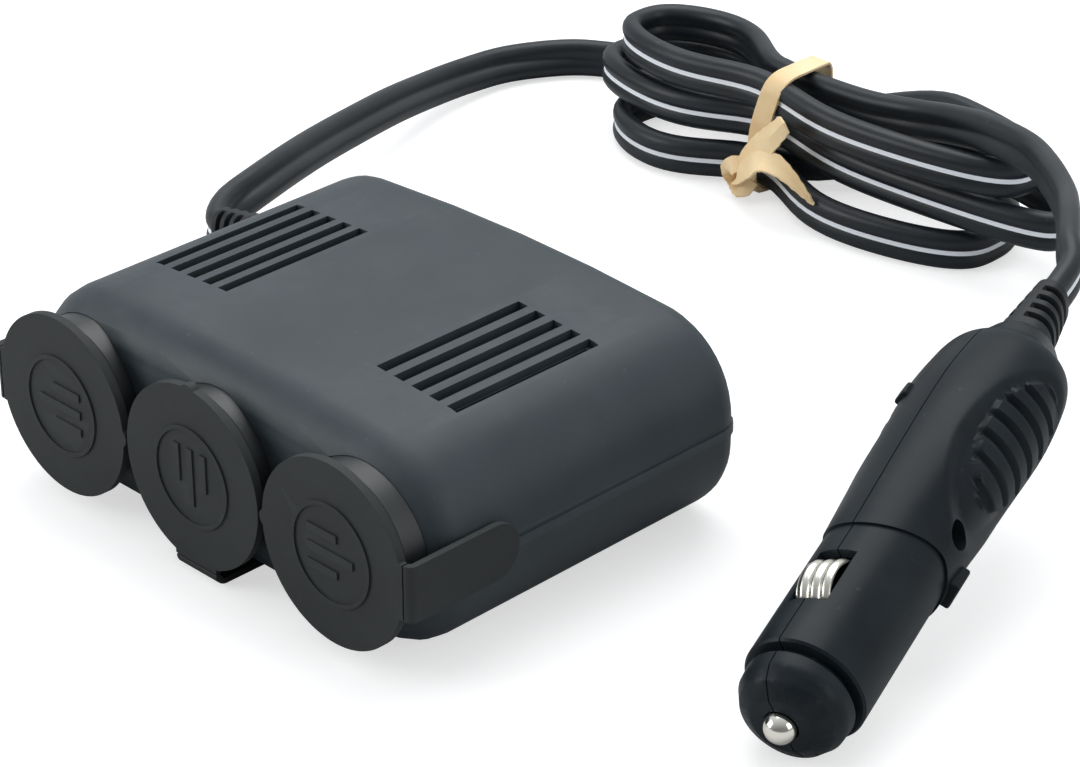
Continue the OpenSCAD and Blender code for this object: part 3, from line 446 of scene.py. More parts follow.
class SurfaceGroups:
    """Shader node groups that more than one finish uses, each built once."""

    def __init__(self) -> None:
        """Builds every group."""
        self.grain, self.mottle = self._grain(), self._mottle()
        self.dust_and_sheen, self.wear = self._dust_and_sheen(), self._wear()

    @staticmethod
    def _start(name: str, second: str) -> tuple[Graph, NodeSocket, NodeSocket]:
        """Empty group, which puts out one value.

        Args:
            name: Its name.
            second: Name of the input that comes after Vector.

        Returns:
            Its graph, and the sockets of its two inputs.
        """
        tree = bpy.data.node_groups.new(name, "ShaderNodeTree")
        kind = "NodeSocketVector" if second == "Normal" else "NodeSocketFloat"
        tree.interface.new_socket(name="Vector", in_out="INPUT", socket_type="NodeSocketVector")
        tree.interface.new_socket(name=second, in_out="INPUT", socket_type=kind)
        tree.interface.new_socket(name="Value", in_out="OUTPUT", socket_type="NodeSocketFloat")
        given = tree.nodes.new("NodeGroupInput").outputs
        return Graph(tree), given["Vector"], given[second]

    def _grain(self) -> NodeTree:
        """Height of a fine moulded texture.

        Returns:
            The group.
        """
        graph, place, scale = self._start("fine_grain", "Scale")
        noise = graph.add("TexNoise", {"Vector": place, "Scale": scale, "Detail": 3, "Roughness": 0.6})
        pits = graph.add("TexVoronoi", {"Vector": place, "Scale": scale})
        return graph.closed(graph.add("Mix", {"Factor": 0.35, "A": noise.outputs["Fac"],
                                              "B": pits.outputs["Distance"]}).outputs["Result"])

    def _mottle(self) -> NodeTree:
        """Slow, soft variation over a surface, 0 to 1.

        Returns:
            The group.
        """
        graph, place, scale = self._start("soft_mottle", "Scale")
        noise = graph.add("TexNoise", {"Vector": place, "Scale": scale, "Detail": 4})
        return graph.closed(graph.ramp(noise.outputs["Fac"], 0.35, 0.65))

    def _dust_and_sheen(self) -> NodeTree:
        """Mask of specks and a thin veil on what faces up: settled dirt, and on the tie partly a painted
        highlight.

        Returns:
            The group.
        """
        graph, place, normal = self._start("settled_dust_and_sheen", "Normal")
        specks = graph.add("TexVoronoi", {"Vector": place, "Scale": 210}).outputs["Distance"]
        veil = graph.add("TexNoise", {"Vector": place, "Scale": 95, "Detail": 6}).outputs["Fac"]
        up = graph.add("SeparateXYZ", {"Vector": normal}).outputs["Z"]
        most = graph.math("MAXIMUM", graph.ramp(specks, 0.10, 0.05), graph.ramp(veil, 0.45, 0.8, most=0.5))
        return graph.closed(graph.math("MULTIPLY", most, graph.ramp(up, -0.1, 1.0)))

    def _wear(self) -> NodeTree:
        """Mask of rubbed edges.

        Returns:
            The group.
        """
        graph, place, pointed = self._start("rubbed_edge", "Pointiness")
        noise = graph.add("TexNoise", {"Vector": place, "Scale": 320})
        return graph.closed(graph.math("MULTIPLY", graph.ramp(pointed, 0.52, 0.60), noise.outputs["Fac"]))


class FinishBench:
    """Builds the materials of the palette's finishes."""

    def __init__(self, palette: Palette) -> None:
        """Keeps the palette and builds the shared groups.

        Args:
            palette: The part's finishes.
        """
        self.palette = palette
        self.groups = SurfaceGroups()
        self.made: dict[str, Material] = {}

    def of(self, finish: Finish) -> Material:
        """The material of a finish, built the first time.

        Args:
            finish: One of the palette's finishes.

        Returns:
            Its material.
        """
        if finish.name not in self.made:
            build = {Moulded: self._moulded, Metal: self._metal, Striped: self._striped,
                     Clear: self._clear}[type(finish)]
            material, graph, shader = new_material(finish.name)
            graph.feed(shader, build(graph, finish))
            self.made[finish.name] = material
        return self.made[finish.name]

    def _moulded(self, graph: Graph, finish: Moulded) -> dict[str, object]:
        """What a moulded finish feeds its shader: grain, mottle, a pale veil on upward faces (settled dirt, and
        on the tie partly a painted highlight) and rubbed edges.

        Args:
            graph: The material's graph.
            finish: Its values.

        Returns:
            The shader's inputs.
        """
        place, surface = graph.place(), graph.add("NewGeometry").outputs
        mottle = graph.group(self.groups.mottle, Vector=place, Scale=70)
        wear = graph.group(self.groups.wear, Vector=place, Pointiness=surface["Pointiness"])
        dust_and_sheen = graph.group(self.groups.dust_and_sheen, Vector=place, Normal=surface["Normal"])
        grain = graph.group(self.groups.grain, Vector=place, Scale=finish.grain_scale)
        pale = linear(*(min(255, finish.paler_by + channel) for channel in finish.light))
        colour = graph.blend(mottle, linear(*finish.dark), linear(*finish.light))
        colour = graph.blend(graph.scaled(wear, finish.wear), colour, pale)
        # Pales upward faces with settled dirt; on the tie this is partly a painted highlight.
        colour = graph.blend(graph.scaled(dust_and_sheen, finish.dust_and_sheen), colour, linear(*finish.dust_and_sheen_colour))
        return {"Base Color": colour, "Roughness": graph.scaled(mottle, 0.07, finish.roughness - 0.03),
                "Specular IOR Level": finish.specular, "Normal": graph.bump(grain, finish.bump)}

    def _metal(self, graph: Graph, finish: Metal) -> dict[str, object]:
        """The same for a metal finish: fine marks along one way, with tarnish.

        Args:
            graph: The material's graph.
            finish: Its values.

        Returns:
            The shader's inputs.
        """
        place = graph.place()
        marks = graph.add("Mapping", {"Vector": place, "Scale": finish.streaks}).outputs["Vector"]
        grain = graph.group(self.groups.grain, Vector=marks, Scale=1000)
        mottle = graph.group(self.groups.mottle, Vector=place, Scale=240)
        tarnish = graph.scaled(mottle, finish.tarnish)
        colour = graph.blend(tarnish, linear(*finish.light), linear(*finish.dark))
        return {"Base Color": colour, "Roughness": graph.scaled(mottle, 0.1, finish.roughness),
                "Metallic": 1.0, "Normal": graph.bump(grain, finish.bump)}

    def _striped(self, graph: Graph, finish: Striped) -> dict[str, object]:
        """The same for the cord's sheath, its stripe and the painted shadow of its groove placed by the piece's
        own map round and along it.

        Args:
            graph: The material's graph.
            finish: Its values.

        Returns:
            The shader's inputs.
        """
        place, surface = graph.place(), graph.add("NewGeometry").outputs
        grain = graph.group(self.groups.grain, Vector=place, Scale=2000)
        mottle = graph.group(self.groups.mottle, Vector=place, Scale=55)
        dust_and_sheen = graph.group(self.groups.dust_and_sheen, Vector=place, Normal=surface["Normal"])
        round_it = graph.add("SeparateXYZ", {"Vector": graph.place("UV")}).outputs["X"]
        middle = (finish.stripe_from + finish.stripe_to) / 2
        half = (finish.stripe_to - finish.stripe_from) / 2
        colour = graph.blend(mottle, linear(*finish.dark), linear(*finish.light))
        colour = graph.blend(graph.scaled(dust_and_sheen, finish.dust_and_sheen), colour, linear(*finish.dust_and_sheen_colour))
        # Paints the groove's shadow as a dark band beside the pale stripe, then the stripe.
        for centre, over in ((middle - 2 * half, finish.painted_groove_shadow), (middle, finish.stripe)):
            colour = graph.blend(graph.math("COMPARE", round_it, centre, half), colour, linear(*over))
        return {"Base Color": colour, "Roughness": graph.scaled(mottle, 0.08, finish.roughness - 0.04),
                "Specular IOR Level": finish.specular, "Normal": graph.bump(grain, finish.bump)}

    def _clear(self, graph: Graph, finish: Clear) -> dict[str, object]:
        """The same for clear glass.

        Args:
            graph: The material's graph.
            finish: Its values.

        Returns:
            The shader's inputs.
        """
        mottle = graph.group(self.groups.mottle, Vector=graph.place(), Scale=400)
        return {"Base Color": graph.blend(mottle, linear(*finish.dark), linear(*finish.light)),
                "Roughness": graph.scaled(mottle, 0.03, finish.roughness),
                "Transmission Weight": 1.0, "IOR": finish.refraction}


# ---------------------------------------------------------------- mesh workshop


class Workshop:
    """Ways of making a piece that several sub-assemblies use."""

    def __init__(self, frame: dict, bench: FinishBench) -> None:
        """Keeps the frame and the finishes.

        Args:
            bench: The materials.
        """
        self.nodes = frame["nodes"]
        self.bench = bench
        self.colours = bench.palette
        self.body_of = {node: Body(body) for body, nodes in frame["record"]["behaviour"]["bodies"].items()
                        for node in nodes}

    def merged(self, node: str) -> BMesh:
        """Merged copy of a frame node's mesh, in flat faces.

        Args:
            node: The node's name.

        Returns:
            The copy.
        """
        bm = bmesh.new()
        bm.from_mesh(self.nodes[node].data)
        for layer in list(bm.loops.layers.uv.values()):
            bm.loops.layers.uv.remove(layer)
        bmesh.ops.remove_doubles(bm, verts=bm.verts[:], dist=WELD)
        bmesh.ops.dissolve_limit(bm, angle_limit=COPLANAR, verts=bm.verts[:], edges=bm.edges[:],
                                 delimit={"NORMAL"})
        return bm

    def riding(self, name: str, mesh: Mesh, finish: Finish, body: Body) -> Object:
        """Object of a finished mesh, with its material and its body.

        Args:
            name: The piece's name.
            mesh: Its mesh.
            finish: Its finish.
            body: The body that it rides on.

        Returns:
            The object.
        """
        mesh.polygons.foreach_set("use_smooth", [True] * len(mesh.polygons))
        obj = placed(name, mesh)
        mesh.materials.clear()
        mesh.materials.append(self.bench.of(finish))
        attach(obj, body.value)
        LOG.info("%s: %d faces on %s", name, len(mesh.polygons), body.value)
        return obj

    def piece(self, name: str, bm: BMesh, finish: Finish, body: Body = Body.SPLITTER,
              crease: float = 34, bevel: float = 0.0) -> Object:
        """Piece with sharp creases and eased edges.

        Args:
            name: The piece's name.
            bm: Its mesh, which is used up.
            finish: Its finish.
            body: The body that it rides on.
            crease: Angle past which an edge stays sharp, in degrees.
            bevel: Width of the eased edges, in mm.

        Returns:
            The object.
        """
        mesh = mesh_from(name, bm)
        if "custom_normal" in mesh.attributes:
            mesh.attributes.remove(mesh.attributes["custom_normal"])
        obj = self.riding(name, mesh, finish, body)
        mesh.set_sharp_from_angle(angle=math.radians(crease))
        if bevel:
            easing = obj.modifiers.new("eased_edges", "BEVEL")
            easing.width = bevel * MM
            easing.segments = 2
            easing.limit_method = "ANGLE"
            easing.angle_limit = math.radians(crease)
            easing.use_clamp_overlap = True
            obj.modifiers.new("even_shading", "WEIGHTED_NORMAL").keep_sharp = True
        return obj

    def stand_in(self, node: str, finish: Finish, bevel: float, crease: float = 34,
                 bm: BMesh | None = None) -> Object:
        """Piece that replaces a frame node and rides on its body.

        Args:
            node: The node's name.
            finish: The piece's finish.
            bevel: Width of the eased edges, in mm.
            crease: Angle past which an edge stays sharp, in degrees.
            bm: The piece's mesh, which is used up, or none for a copy of the node's.

        Returns:
            The piece.
        """
        bm = bm or self.merged(node)
        obj = self.piece(node + "_dressed", bm, finish, self.body_of[node], crease, bevel)
        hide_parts(node)
        return obj

    def dress(self, node: str, finish: Finish) -> Object:
        """Finish on a frame node that stays as it is.

        Args:
            node: The node's name.
            finish: Its finish.

        Returns:
            The node's object.
        """
        obj, material = self.nodes[node], self.bench.of(finish)
        if not obj.material_slots:
            obj.data.materials.append(material)
        for slot in obj.material_slots:
            slot.material = material
        return obj

    @staticmethod
    def lathe(profile: list[tuple[float, float]], steps: int) -> BMesh:
        """Turned form about the X axis.

        Args:
            profile: Place along the axis and radius, in mm.
            steps: Faces round it.

        Returns:
            Its mesh, in metres.
        """
        bm = bmesh.new()
        points = [bm.verts.new((along * MM, 0, radius * MM)) for along, radius in profile]
        edges = [bm.edges.new(pair) for pair in zip(points, points[1:])]
        bmesh.ops.spin(bm, geom=points + edges, cent=(0, 0, 0), axis=(1, 0, 0), angle=math.tau, steps=steps,
                       use_merge=True, use_duplicate=False)
        bmesh.ops.remove_doubles(bm, verts=bm.verts[:], dist=NEAR)
        return recalculated(bm)

    @staticmethod
    def cut(bm: BMesh, cutter: BMesh) -> BMesh:
        """A mesh with another's space taken out of it.

        Args:
            bm: The mesh, which is used up.
            cutter: The mesh that is taken out, which is used up.

        Returns:
            The result.
        """
        whole, tool = placed("whole", mesh_from("whole", bm)), placed("cutter", mesh_from("cutter", cutter))
        take = whole.modifiers.new("cut", "BOOLEAN")
        take.operation = "DIFFERENCE"
        take.object = tool
        take.solver = "EXACT"
        bpy.context.view_layer.update()
        cut = bpy.data.meshes.new_from_object(whole.evaluated_get(bpy.context.evaluated_depsgraph_get()))
        result = bmesh.new()
        result.from_mesh(cut)
        bpy.data.meshes.remove(cut)
        for obj in (whole, tool):
            mesh = obj.data
            bpy.data.objects.remove(obj)
            bpy.data.meshes.remove(mesh)
        return result

    @staticmethod
    def swept(path: list[Vector], section: list[tuple[float, float]], rolls: list[float]) -> Mesh:
        """Tube of one section along a path, with a map round and along it.

        Args:
            path: Points of its middle, in metres.
            section: Corners of its section, across and up, in mm.
            rolls: How far it leans to the left of its travel at each point, in radians.

        Returns:
            Its mesh. The map's first value goes round it from the section's first corner, 0 to 1, and its
            second goes along it in metres.
        """
        curves = [bpy.data.curves.new(name, "CURVE") for name in ("outline", "line")]
        places = ([(across * MM, up * MM, 0) for across, up in section], path)
        for curve, points in zip(curves, places):
            spline = curve.splines.new("POLY")
            spline.points.add(len(points) - 1)
            for point, place in zip(spline.points, points):
                point.co = (*place, 1)
        outline, line = curves
        outline.splines[0].use_cyclic_u = True
        for point, roll in zip(line.splines[0].points, rolls):
            point.tilt = -roll
        line.dimensions = "3D"
        line.twist_mode = "Z_UP"
        line.bevel_mode = "OBJECT"
        line.bevel_object = placed("outline", outline)
        line.use_fill_caps = True
        tube = placed("line", line)
        bpy.context.view_layer.update()
        mesh = bpy.data.meshes.new_from_object(tube.evaluated_get(bpy.context.evaluated_depsgraph_get()))
        for obj, curve in ((tube, line), (line.bevel_object, outline)):
            bpy.data.objects.remove(obj)
            bpy.data.curves.remove(curve)
        return Workshop._mapped(mesh, path, section)

    @staticmethod
    def _mapped(mesh: Mesh, path: list[Vector], section: list[tuple[float, float]]) -> Mesh:
        """A swept mesh with its map round and along it.

        Args:
            mesh: The swept mesh.
            path: Its path.
            section: Its section.

        Returns:
            The same mesh.
        """
        count = len(section)
        lengths, along = [0.0], [0.0]
        for first, second in zip(section, section[1:] + section[:1]):
            lengths.append(lengths[-1] + math.dist(first, second))
        for first, second in zip(path, path[1:]):
            along.append(along[-1] + (second - first).length)
        for name in [layer.name for layer in mesh.uv_layers]:
            mesh.uv_layers.remove(mesh.uv_layers[name])
        layer = mesh.uv_layers.new(name="round_and_along")
        for polygon in mesh.polygons:
            wall = polygon.loop_total == 4
            verts = [mesh.loops[loop].vertex_index for loop in polygon.loop_indices]
            corners = [vert % count for vert in verts]
            seam = 0 in corners and count - 1 in corners
            for loop, vert, corner in zip(polygon.loop_indices, verts, corners):
                share = lengths[count if seam and corner == 0 else corner] / lengths[-1] if wall else 0.0
                layer.data[loop].uv = (share, along[min(vert // count, len(along) - 1)])
        return mesh


@dataclass(frozen=True)
class RibbedBoot:
    """A rubber boot that a flat cord leaves through, slotted on both sides of a bar so that it bends.

    Root and tip are its height and width at its ends. The bar turns round it from upright.
    """

    length: float
    root: tuple[float, float]
    tip: tuple[float, float]
    first_slot: float
    slot_pitch: float
    slots: int
    steps: int = 110
    bar_turn: float = 0.0
    bar_half: float = 13
    bar_ease: float = 5
    slot_width: float = 1.15
    slot_depth: float = 0.95
    slot_ease: float = 0.14
    tip_round: tuple[float, float] = (0.6, 0.55)
    square: float = 2.6
    sides: int = 88

    def mesh(self) -> BMesh:
        """The boot along +X from its root, upright, in metres."""
        shares = (step / self.steps for step in range(self.steps + 1))
        return lofted(self.sides, [partial(self._corner, share) for share in shares])

    def _corner(self, share: float, turn: float) -> Vector:
        """One corner of a ring.

        Args:
            share: The ring's place along the boot, 0 to 1.
            turn: The corner's turn in radians.

        Returns:
            Its place, in mm.
        """
        along = share * self.length
        tall, wide = ((start + (end - start) * share) / 2 for start, end in zip(self.root, self.tip))
        nearest = min(abs(along - self.first_slot - k * self.slot_pitch) for k in range(self.slots))
        slot = clamped((self.slot_width / 2 + self.slot_ease - nearest) / (2 * self.slot_ease))
        run, deep = self.tip_round
        off_bar = abs((math.degrees(turn) - self.bar_turn) % 180 - 90)
        sink = (slot * self.slot_depth * clamped((off_bar - self.bar_half) / self.bar_ease)
                + deep * max(0.0, 1 - (self.length - along) / run) ** 2)
        c, u = math.cos(turn), math.sin(turn)
        size = (abs(c) ** self.square + abs(u) ** self.square) ** (-1 / self.square)
        return Vector((along, (wide - sink) * size * c, (tall - sink) * size * u))


# ---------------------------------------------------------------- studio


@dataclass(frozen=True)
class Lamp:
    """A soft square lamp: its place, its aim and its side in metres, and its power in watts."""

    name: str
    at: Point
    aim: Point
    size: float
    power: float


@dataclass
class Studio:
    """White table and soft light, with the camera at the photograph's place, in metres and degrees."""

    camera_at: Point = (0.40057, -0.35722, 0.31529)
    camera_turn: Point = (61.325, 0, 45.062)
    lens: float = 116.67
    sensor: float = 36
    world_light: tuple[float, float] = (0.19, 0.78)
    world_colour: tuple[float, ...] = (0.92, 0.97, 1.0, 1)
    bright_side: Point = (-0.55, 0.55, 0.75)
    lamps: tuple[Lamp, ...] = (
        Lamp("overhead", (-0.25, 0.35, 0.9), (0.0, 0.05, 0.0), 0.8, 6.0),
        Lamp("left_fill", (-0.55, -0.65, 0.35), (0.0, 0.0, 0.02), 0.5, 3.4),
        Lamp("right_fill", (0.85, 0.25, 0.40), (0.05, 0.05, 0.02), 0.5, 1.8))
    table_half: float = 3.0
    table_grey: float = 0.6

    def build(self) -> None:
        """Builds the camera, the world, the lamps and the table."""
        self._camera()
        self._world()
        for lamp in self.lamps:
            self._lamp(lamp)
        self._table()

    def _camera(self) -> None:
        """The camera."""
        data = bpy.data.cameras.new("view")
        data.lens = self.lens
        data.sensor_width = self.sensor
        data.clip_start = 0.01
        camera = placed("view", data)
        camera.location = self.camera_at
        camera.rotation_euler = [math.radians(turn) for turn in self.camera_turn]
        bpy.context.scene.camera = camera
        bpy.context.scene.view_settings.view_transform = "Standard"

    def _world(self) -> None:
        """Light from all round, brighter from one side, and even where the camera or glass sees it."""
        world = bpy.data.worlds.new("studio")
        world.use_nodes = True
        world.node_tree.nodes.clear()
        graph = Graph(world.node_tree)
        bright = Vector(self.bright_side).normalized()
        facing = graph.add("VectorMath", {0: graph.place("Generated"), 1: bright}, operation="DOT_PRODUCT")
        strength = graph.ramp(facing.outputs["Value"], -0.4, 0.9, *self.world_light)
        light = graph.add("Background", {"Color": self.world_colour, "Strength": strength})
        backdrop = graph.add("Background", {"Strength": 1.0})
        mix = graph.add("MixShader", {"Fac": graph.seen(), 1: light.outputs["Background"],
                                      2: backdrop.outputs["Background"]})
        graph.add("OutputWorld", {"Surface": mix.outputs["Shader"]})
        bpy.context.scene.world = world

    def _lamp(self, lamp: Lamp) -> None:
        """One lamp.

        Args:
            lamp: Its values.
        """
        data = bpy.data.lights.new(lamp.name, "AREA")
        data.size = lamp.size
        data.energy = lamp.power
        obj = placed(lamp.name, data)
        obj.location = lamp.at
        obj.rotation_euler = (Vector(lamp.aim) - Vector(lamp.at)).to_track_quat("-Z", "Y").to_euler()

    def _table(self) -> None:
        """The white table, which keeps the object's shadow."""
        bm = bmesh.new()
        bmesh.ops.create_grid(bm, x_segments=8, y_segments=8, size=self.table_half)
        table = placed("table", mesh_from("table", bm))
        material, graph, shader = new_material("table_white")
        grey = self.table_grey
        graph.feed(shader, {"Base Color": (grey, grey, grey, 1), "Roughness": 0.9, "Specular IOR Level": 0.1,
                            "Emission Color": (1, 1, 1, 1),
                            "Emission Strength": graph.math("MULTIPLY", graph.seen(), grey)})
        table.data.materials.append(material)


# ---------------------------------------------------------------- cord


@dataclass
class CordRoute:
    """The cord's path, from the strain relief through the hank to the plug.

    The hank is a row of half loops about its waist. Each has its half length, and how far its upper and
    lower runs stand off the hank's middle line. At the waist, between them, each run has its own place and
    its own level.
    """

    relief_end: Point = (-70.9, 27.15, 17.45)
    boot_end: Point = (77.307, 92.812, 33.21)
    plug_axis: Point = (-0.27564, 0.93656, 0.21644)
    straight: float = 8.2
    hank_from: float = 135
    hank_step: float = 3
    hank_points: int = 376
    hank_y: float = 149
    floor_z: float = 4.2
    level_step: float = 9
    lift: float = 0.9
    reach: float = 16
    squareness: float = 0.75
    climb_within: float = 0.2
    half_loops: tuple[Point, ...] = (
        (46, 26, 26), (55, 25, 15.5), (41, 19, 18), (72, 16, 8), (47, 17, 12), (63, 15, 12), (41, 15, 12))
    waist: tuple[float, ...] = (5.8, 5.8, 5.8, -0.6, 3.4, 3.3, 7.3, 0.3)
    levels: tuple[int, ...] = (0, 0, 0, 0, 1, 1, 2, 2)
    lean: float = 0.7
    lean_in: tuple[float, float] = (3, 16)
    lean_out: tuple[float, float] = (170, 60)
    lead_in: tuple[Point, ...] = (
        (-73.9, 28.0, 17.2), (-76.6, 31.2, 17.4), (-78.9, 36.6, 17.7), (-81.6, 45.5, 17.8), (-86.2, 57, 16.8),
        (-92, 70, 14.8), (-98.4, 86, 12.3), (-104.9, 103, 9.5), (-110.5, 119, 6.4), (-113, 132, 4.7),
        (-112, 144, 4.2), (-106, 155, 4.2), (-99, 161, 4.2), (-89, 165, 4.2))
    lead_out: tuple[Point, ...] = (
        (-12, 147.8, 23.9), (0, 148.4, 25.4), (11, 146.6, 28.2), (22.5, 144, 30.7), (34, 140.8, 31.8),
        (44.5, 133.8, 33), (55.2, 124.5, 34.2), (63.6, 114.6, 35.8), (70.3, 105.8, 36.2))

    def hank_point(self, turn: float) -> Vector:
        """Point of the hank at a turn.

        Args:
            turn: Degrees, from hank_from down, with half a loop between 90 and -90 and so on.

        Returns:
            The point, in mm.
        """
        half = 0 if turn > 90 else min(len(self.half_loops) - 1, 1 + math.floor((90 - turn) / 180))
        share = 1 if half == 0 else (90 - turn - 180 * (half - 1)) / 180
        length, above, below = self.half_loops[half]
        x = length * math.cos(math.radians(turn))
        up = math.sin(math.radians(turn))
        near = math.exp(-(x / self.reach) ** 2)
        wide = below if up < 0 else above
        waist = self.waist[half] if share < 0.5 else self.waist[half + 1]
        start, end = self.levels[half:half + 2]
        level = start + (end - start) * ease(share / self.climb_within)
        off = math.copysign(abs(up) ** self.squareness, up) * (wide + (waist - wide) * near)
        up_by = self.level_step * level + self.lift * near
        return Vector((WAIST_X + x, self.hank_y + off, self.floor_z + up_by))

    def points(self) -> list[Vector]:
        """The whole path.

        Returns:
            Its points, in metres.
        """
        coil = [self.hank_point(self.hank_from - self.hank_step * i) for i in range(self.hank_points)]
        first, last = (coil[1] - coil[0]).normalized(), (coil[-1] - coil[-2]).normalized()
        end = Vector(self.boot_end)
        way_in = smooth_path([Vector(self.relief_end), *map(Vector, self.lead_in),
                              coil[0] - first * self.straight, coil[0]])
        way_out = smooth_path([coil[-1], coil[-1] + last * self.straight, *map(Vector, self.lead_out),
                               end + Vector(self.plug_axis) * self.straight, end])
        return [point * MM for point in way_in[:-1] + coil + way_out[1:]]

    def rolls(self, path: list[Vector]) -> list[float]:
        """How far the cord leans to its left, which it does on its way from the housing to the hank.

        Args:
            path: The whole path's points.

        Returns:
            The lean at each, in radians.
        """
        starts, rise = self.lean_in
        ends, fall = self.lean_out
        gone, result = 0.0, [0.0]
        for first, second in zip(path, path[1:]):
            gone += (second - first).length / MM
            result.append(self.lean * ease((gone - starts) / rise) * ease((ends - gone) / fall))
        return result


@dataclass
class FlatCord:
    """The flat two-core cord, with its tail in the housing and its end in the plug."""

    shop: Workshop
    width: float = 8.2
    thick: float = 4.2
    web: float = 3.1
    web_blend: float = 6
    groove_half: float = 0.14
    core_turns: tuple[float, ...] = (-66, -42, -20, 0, 20, 40, 56)
    tail_steps: tuple[float, ...] = (16, 8, 0)
    end_steps: tuple[float, ...] = (0, 15, 30, 46)
    route: CordRoute = field(default_factory=CordRoute)

    def section(self) -> list[tuple[float, float]]:
        """Section of two cores joined by a web, from its lowest point round by the right.

        Returns:
            Its corners, across and up, in mm.
        """
        core = self.thick / 2
        centre = self.width / 2 - core
        power = self.web_blend
        heights = [-centre + core * math.sin(math.radians(turn)) for turn in self.core_turns]
        side = []
        for up in heights + [-self.groove_half]:
            bulge = math.sqrt(max(core ** 2 - (abs(up) - centre) ** 2, 0))
            web = self.web / 2 if abs(up) < centre else 0
            side.append(((bulge ** power + web ** power) ** (1 / power), up))
        side += [(across, -up) for across, up in reversed(side)]
        other = [(-across, up) for across, up in reversed(side)]
        return [(0, -self.width / 2), *side, (0, self.width / 2), *other]

    def build(self, with_pieces: list[Object]) -> None:
        """Args:
            with_pieces: The relief, tie and plug pieces. Not used.
        """
        path = self.route.points()
        places = (self.route.relief_end, HOUSING_EXIT, self.route.boot_end)
        start, mouth, end = (Vector(place) * MM for place in places)
        inside = [mouth + Vector((step * MM, 0, 0)) for step in self.tail_steps]
        onward = [end - Vector(self.route.plug_axis) * MM * step for step in self.end_steps]
        cord = self._tube("flat_cord", path, "cord_lead_in", "cord_hank", "cord_lead_out")
        tail = self._tube("cord_in_housing", [*inside, mouth.lerp(start, 0.5), start], "cord_tail")
        last = self._tube("cord_in_plug", onward, "plug_cord_end")

    def _tube(self, name: str, path: list[Vector], *nodes: str) -> Object:
        """One stretch of cord, which leans only where it lies free.

        Args:
            name: Its name.
            path: Its points, in metres.
            nodes: The frame nodes that it stands for.

        Returns:
            The object.
        """
        rolls = self.route.rolls(path) if len(nodes) > 1 else [0.0] * len(path)
        mesh = Workshop.swept(path, self.section(), rolls)
        mesh.name = name
        obj = self.shop.riding(name, mesh, self.shop.colours.cord, Body.SPLITTER)
        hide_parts(*nodes)
        return obj


